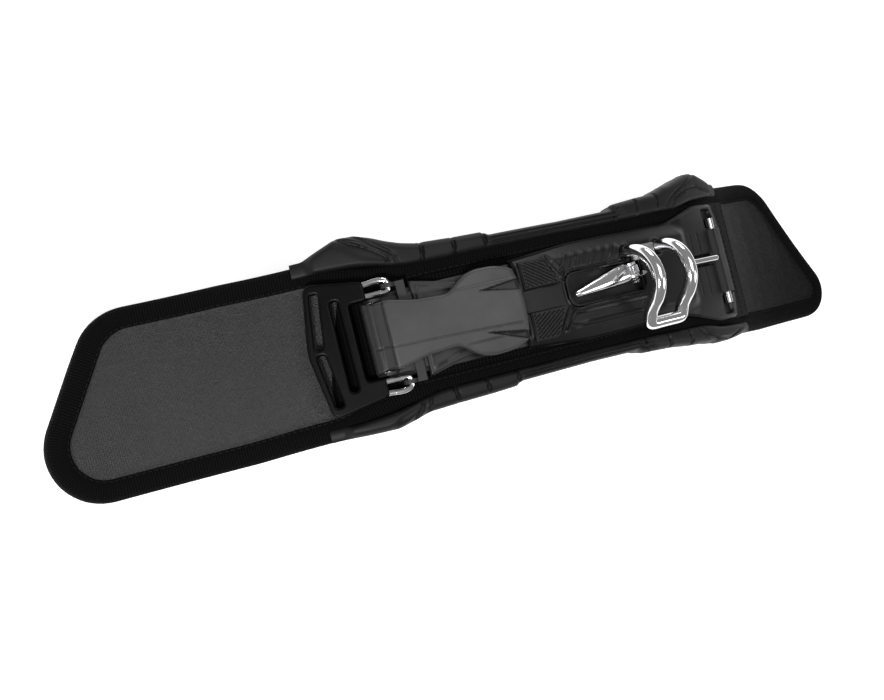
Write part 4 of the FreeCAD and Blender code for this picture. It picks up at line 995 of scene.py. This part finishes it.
def base_flange():
    """Moulded plate of the lever's foot, with soft edges."""
    start, end = BASE_HALF[0][0], BASE_HALF[-1][0]
    along = rimmed_samples(start, end, 1.6, 0.2, 0.8)
    across = rimmed_samples(-1, 1, 0.07, 0.01, 0.05)
    u = np.repeat(along[:, None], len(across), axis=1)
    half = np.interp(along, *zip(*BASE_HALF))[:, None]
    y = half * across[None]
    rim = np.minimum(np.minimum(u - start, end - u), half - np.abs(y))
    top = BASE_TOP - 1.3 * round_off(rim, 1.4)
    top += 0.5 * (1 - smooth(np.abs(rim - 3.4), 0.4, 0.9))
    relief("lever_foot_plate", u, y, top, BASE_UNDERSIDE, "bar", "base_plastic")


BUCKLE_ALONG = -135.0
BUCKLE_LOW, BUCKLE_HIGH = 3.3, 9.7
BUCKLE_ROUND = 1.5


def buckle_outlines():
    """The buckle and its slots in its own flat frame: (x, y, corner radius)."""
    side = [(-20.5, 38.5, 5.0), (12.5, 32.9, 3.0), (12.5, 21.8, 1.6), (2.0, 21.8, 2.4)]
    outer = [(-26.5, 0, 30.0), *side, *[(x, -y, r) for x, y, r in side[::-1]]]
    near, far = 1.9, 31.9
    long_slot = [(-8.1, 25.5, 2.0), (-3.1, 25.5, 2.0), (-3.1, -25.5, 2.0), (-8.1, -25.5, 2.0)]
    slots = [[(-22.1, near * k, 1.8), (-18.1, far * k, 1.8), (-13.1, far * k, 1.8), (-17.1, near * k, 1.8)]
             for k in (1, -1)]
    return [outer, long_slot, *slots]


def ladder_buckle():
    """Buckle with soft moulded edges, one long and two slanted short slots."""
    plate = bpy.data.curves.new("ladder", "CURVE")
    plate.dimensions = "2D"
    plate.fill_mode = "BOTH"
    plate.extrude = (BUCKLE_HIGH - BUCKLE_LOW) / 2 * MM - BUCKLE_ROUND * MM
    plate.bevel_depth = BUCKLE_ROUND * MM
    plate.bevel_resolution = 4
    plate.offset = -BUCKLE_ROUND * MM
    for corners in buckle_outlines():
        points = fillet(corners) * MM
        spline = plate.splines.new("POLY")
        spline.points.add(len(points) - 1)
        for point, place in zip(spline.points, points):
            point.co = (*place, 0, 1)
        spline.use_cyclic_u = True
    points, faces = meshed(plate)
    place = arch_matrix(BUCKLE_ALONG) @ Matrix.Translation((0, 0, (BUCKLE_LOW + BUCKLE_HIGH) / 2 * MM))
    make("ladder_buckle_body", [place @ point for point in points], faces, "latch", "buckle_plastic",
         ("ladder_buckle",), sharp=32)


# ------------------------------------------------------------------ bent rods and the lock finger

HOOK_ALONG = 47.5
HOOK_HALF = 13.5
HOOK_ROD = 0.004
HOOK_FOOT_SIDE, HOOK_RISE, HOOK_BEND = 15.7, 15.3, 17.7
LINK_X, LINK_LEVEL = 25.6, 6.65
LOOP_ROD = 0.0018


def hook():
    """One bent rod: up from the foot, over a round arch, down a slope and across to its twin leg."""
    side_view = [(HOOK_FOOT_SIDE, 1.4), (HOOK_FOOT_SIDE, 8.0), (HOOK_FOOT_SIDE, HOOK_RISE - 3)]
    for degrees in range(10, 136, 25):
        turn = math.radians(degrees)
        side_view.append((HOOK_FOOT_SIDE - HOOK_BEND + 1.02 * HOOK_BEND * math.cos(turn),
                          HOOK_RISE + 1.02 * HOOK_BEND * math.sin(turn)))
    side_view += [(-18.6, 23.4), (-22.0, 19.9), (-25.2, 18.4)]
    corner = [(13.5, -28.2, 16.8), (10.6, -28.8, 16.6), (5.0, -28.7, 16.6)]
    left = [(-HOOK_HALF, y, z) for y, z in side_view] + [(-x, y, z) for x, y, z in corner]
    right = [(-x, y, z) for x, y, z in left[::-1]]
    place = arch_matrix(HOOK_ALONG)
    points = [place @ (Vector(point) * MM) for point in left + right]
    tube("hook_rod", points, HOOK_ROD, "bar", "polished_rod", ("hook",))


def loop(name, side, node_name):
    """Steel loop from the buckle's arm round through the ear of the lever's crank."""
    path = [(5.5, 24.2), (14.0, 24.2), (22.4, 24.2), (25.4, 24.6), (LINK_X, 27.2), (LINK_X, 29.6),
            (23.6, 31.0), (19.5, 31.6), (13.0, 30.8), (5.5, 30.6)]
    place = arch_matrix(BUCKLE_ALONG)
    points = [place @ (Vector((x, y * side, LINK_LEVEL)) * MM) for x, y in path]
    tube(name, points, LOOP_ROD, "latch", "polished_rod", (node_name,))


# (distance from the pin, half width, half height) along the finger, from its tip
FINGER_STATIONS = [(47.0, 0.3, 0.3), (46.6, 1.2, 1.1), (45.6, 1.8, 1.5), (43.0, 2.1, 1.8), (34.0, 3.3, 2.6),
                   (22.0, 4.8, 3.5), (12.0, 5.8, 4.2), (7.0, 6.1, 4.4), (5.0, 5.9, 4.3), (4.2, 5.0, 3.7),
                   (3.6, 2.6, 2.6), (0.0, 2.4, 2.4)]
# (place along the pin, radius) of the eye
FINGER_EYE = [(-2.5, 3.9), (-2.2, 4.3), (2.2, 4.3), (2.5, 3.9)]
FINGER_SIDES = 32
FINGER_PIN_ALONG = 37.0
FINGER_PIN = (0, 4.8 * MM, 10.2 * MM)
FINGER_SKEW = math.radians(8.7)


def lock_finger():
    """Polished tapered finger with an oval section, and the eye that it turns on."""
    n = FINGER_SIDES
    turn = np.linspace(0, 2 * math.pi, n, endpoint=False)
    ridge = 1 + 0.08 * np.exp(-((turn - 1.9) / 0.5) ** 2)
    rows = []
    for reach, wide, high in FINGER_STATIONS:
        droop = 0.3 * reach / FINGER_STATIONS[0][0]
        rows.append(np.column_stack([np.full(n, -reach), wide * np.cos(turn) * ridge,
                                     high * np.sin(turn) * ridge - droop]))
    for across, radius in FINGER_EYE:
        rows.append(np.column_stack([radius * np.cos(turn), np.full(n, across), radius * np.sin(turn)]))
    faces, start = [], 0
    for rings in (len(FINGER_STATIONS), len(FINGER_EYE)):
        faces += ring_faces(rings, n, start).tolist()
        faces += [list(range(start, start + n))[::-1], list(range(start + (rings - 1) * n, start + rings * n))]
        start += rings * n
    pin = arch_matrix(FINGER_PIN_ALONG) @ Matrix.Translation(FINGER_PIN)
    place = pin @ Matrix.Rotation(FINGER_SKEW, 4, "Z")
    points = [place @ (Vector(point) * MM) for point in np.concatenate(rows)]
    make("lock_finger_blade", points, faces, "finger", "polished_rod", ("lock_finger",), sharp=45)


# ------------------------------------------------------------------ CAD nodes that stay

KEPT = {
    "stainless_plate": ["finger_clevis", "hook_base_plate"],
    "blackened_plate": ["spreader_plate", "base_rivets", "crank_rivets"],
    "stainless_rod": ["webbing_bar", "lever_pivot_pin", "finger_pin", "cover_screws"],
    "polished_rod": ["release_pin"],
    "spring_steel": ["finger_spring", "release_spring"],
    "base_plastic": ["lever_base", "lever_crank"],
    "tray_plastic": ["recess_tray"],
}


def dress_kept_nodes():
    """Gives the CAD nodes that stay visible their materials."""
    for slot, names in KEPT.items():
        for name in names:
            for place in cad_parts[name].material_slots:
                place.material = MATERIALS[slot]


def write_sizes():
    """Updates the view layer; no boxes are worked out or written here."""
    bpy.context.view_layer.update()


camera()
studio()
pad_and_cloths()
side_rail("upper_rail_foam", 1, RAIL_EDGE_UPPER, "upper_side_rail")
side_rail("lower_rail_foam", -1, RAIL_EDGE_LOWER, "lower_side_rail")
seam_strip()
bar_cover()
grip("upper_grip", 1, "upper_grip_insert")
grip("lower_grip", -1, "lower_grip_insert")
lever()
base_flange()
ladder_buckle()
hook()
loop("upper_steel_loop", 1, "upper_loop")
loop("lower_steel_loop", -1, "lower_loop")
lock_finger()
dress_kept_nodes()
write_sizes()
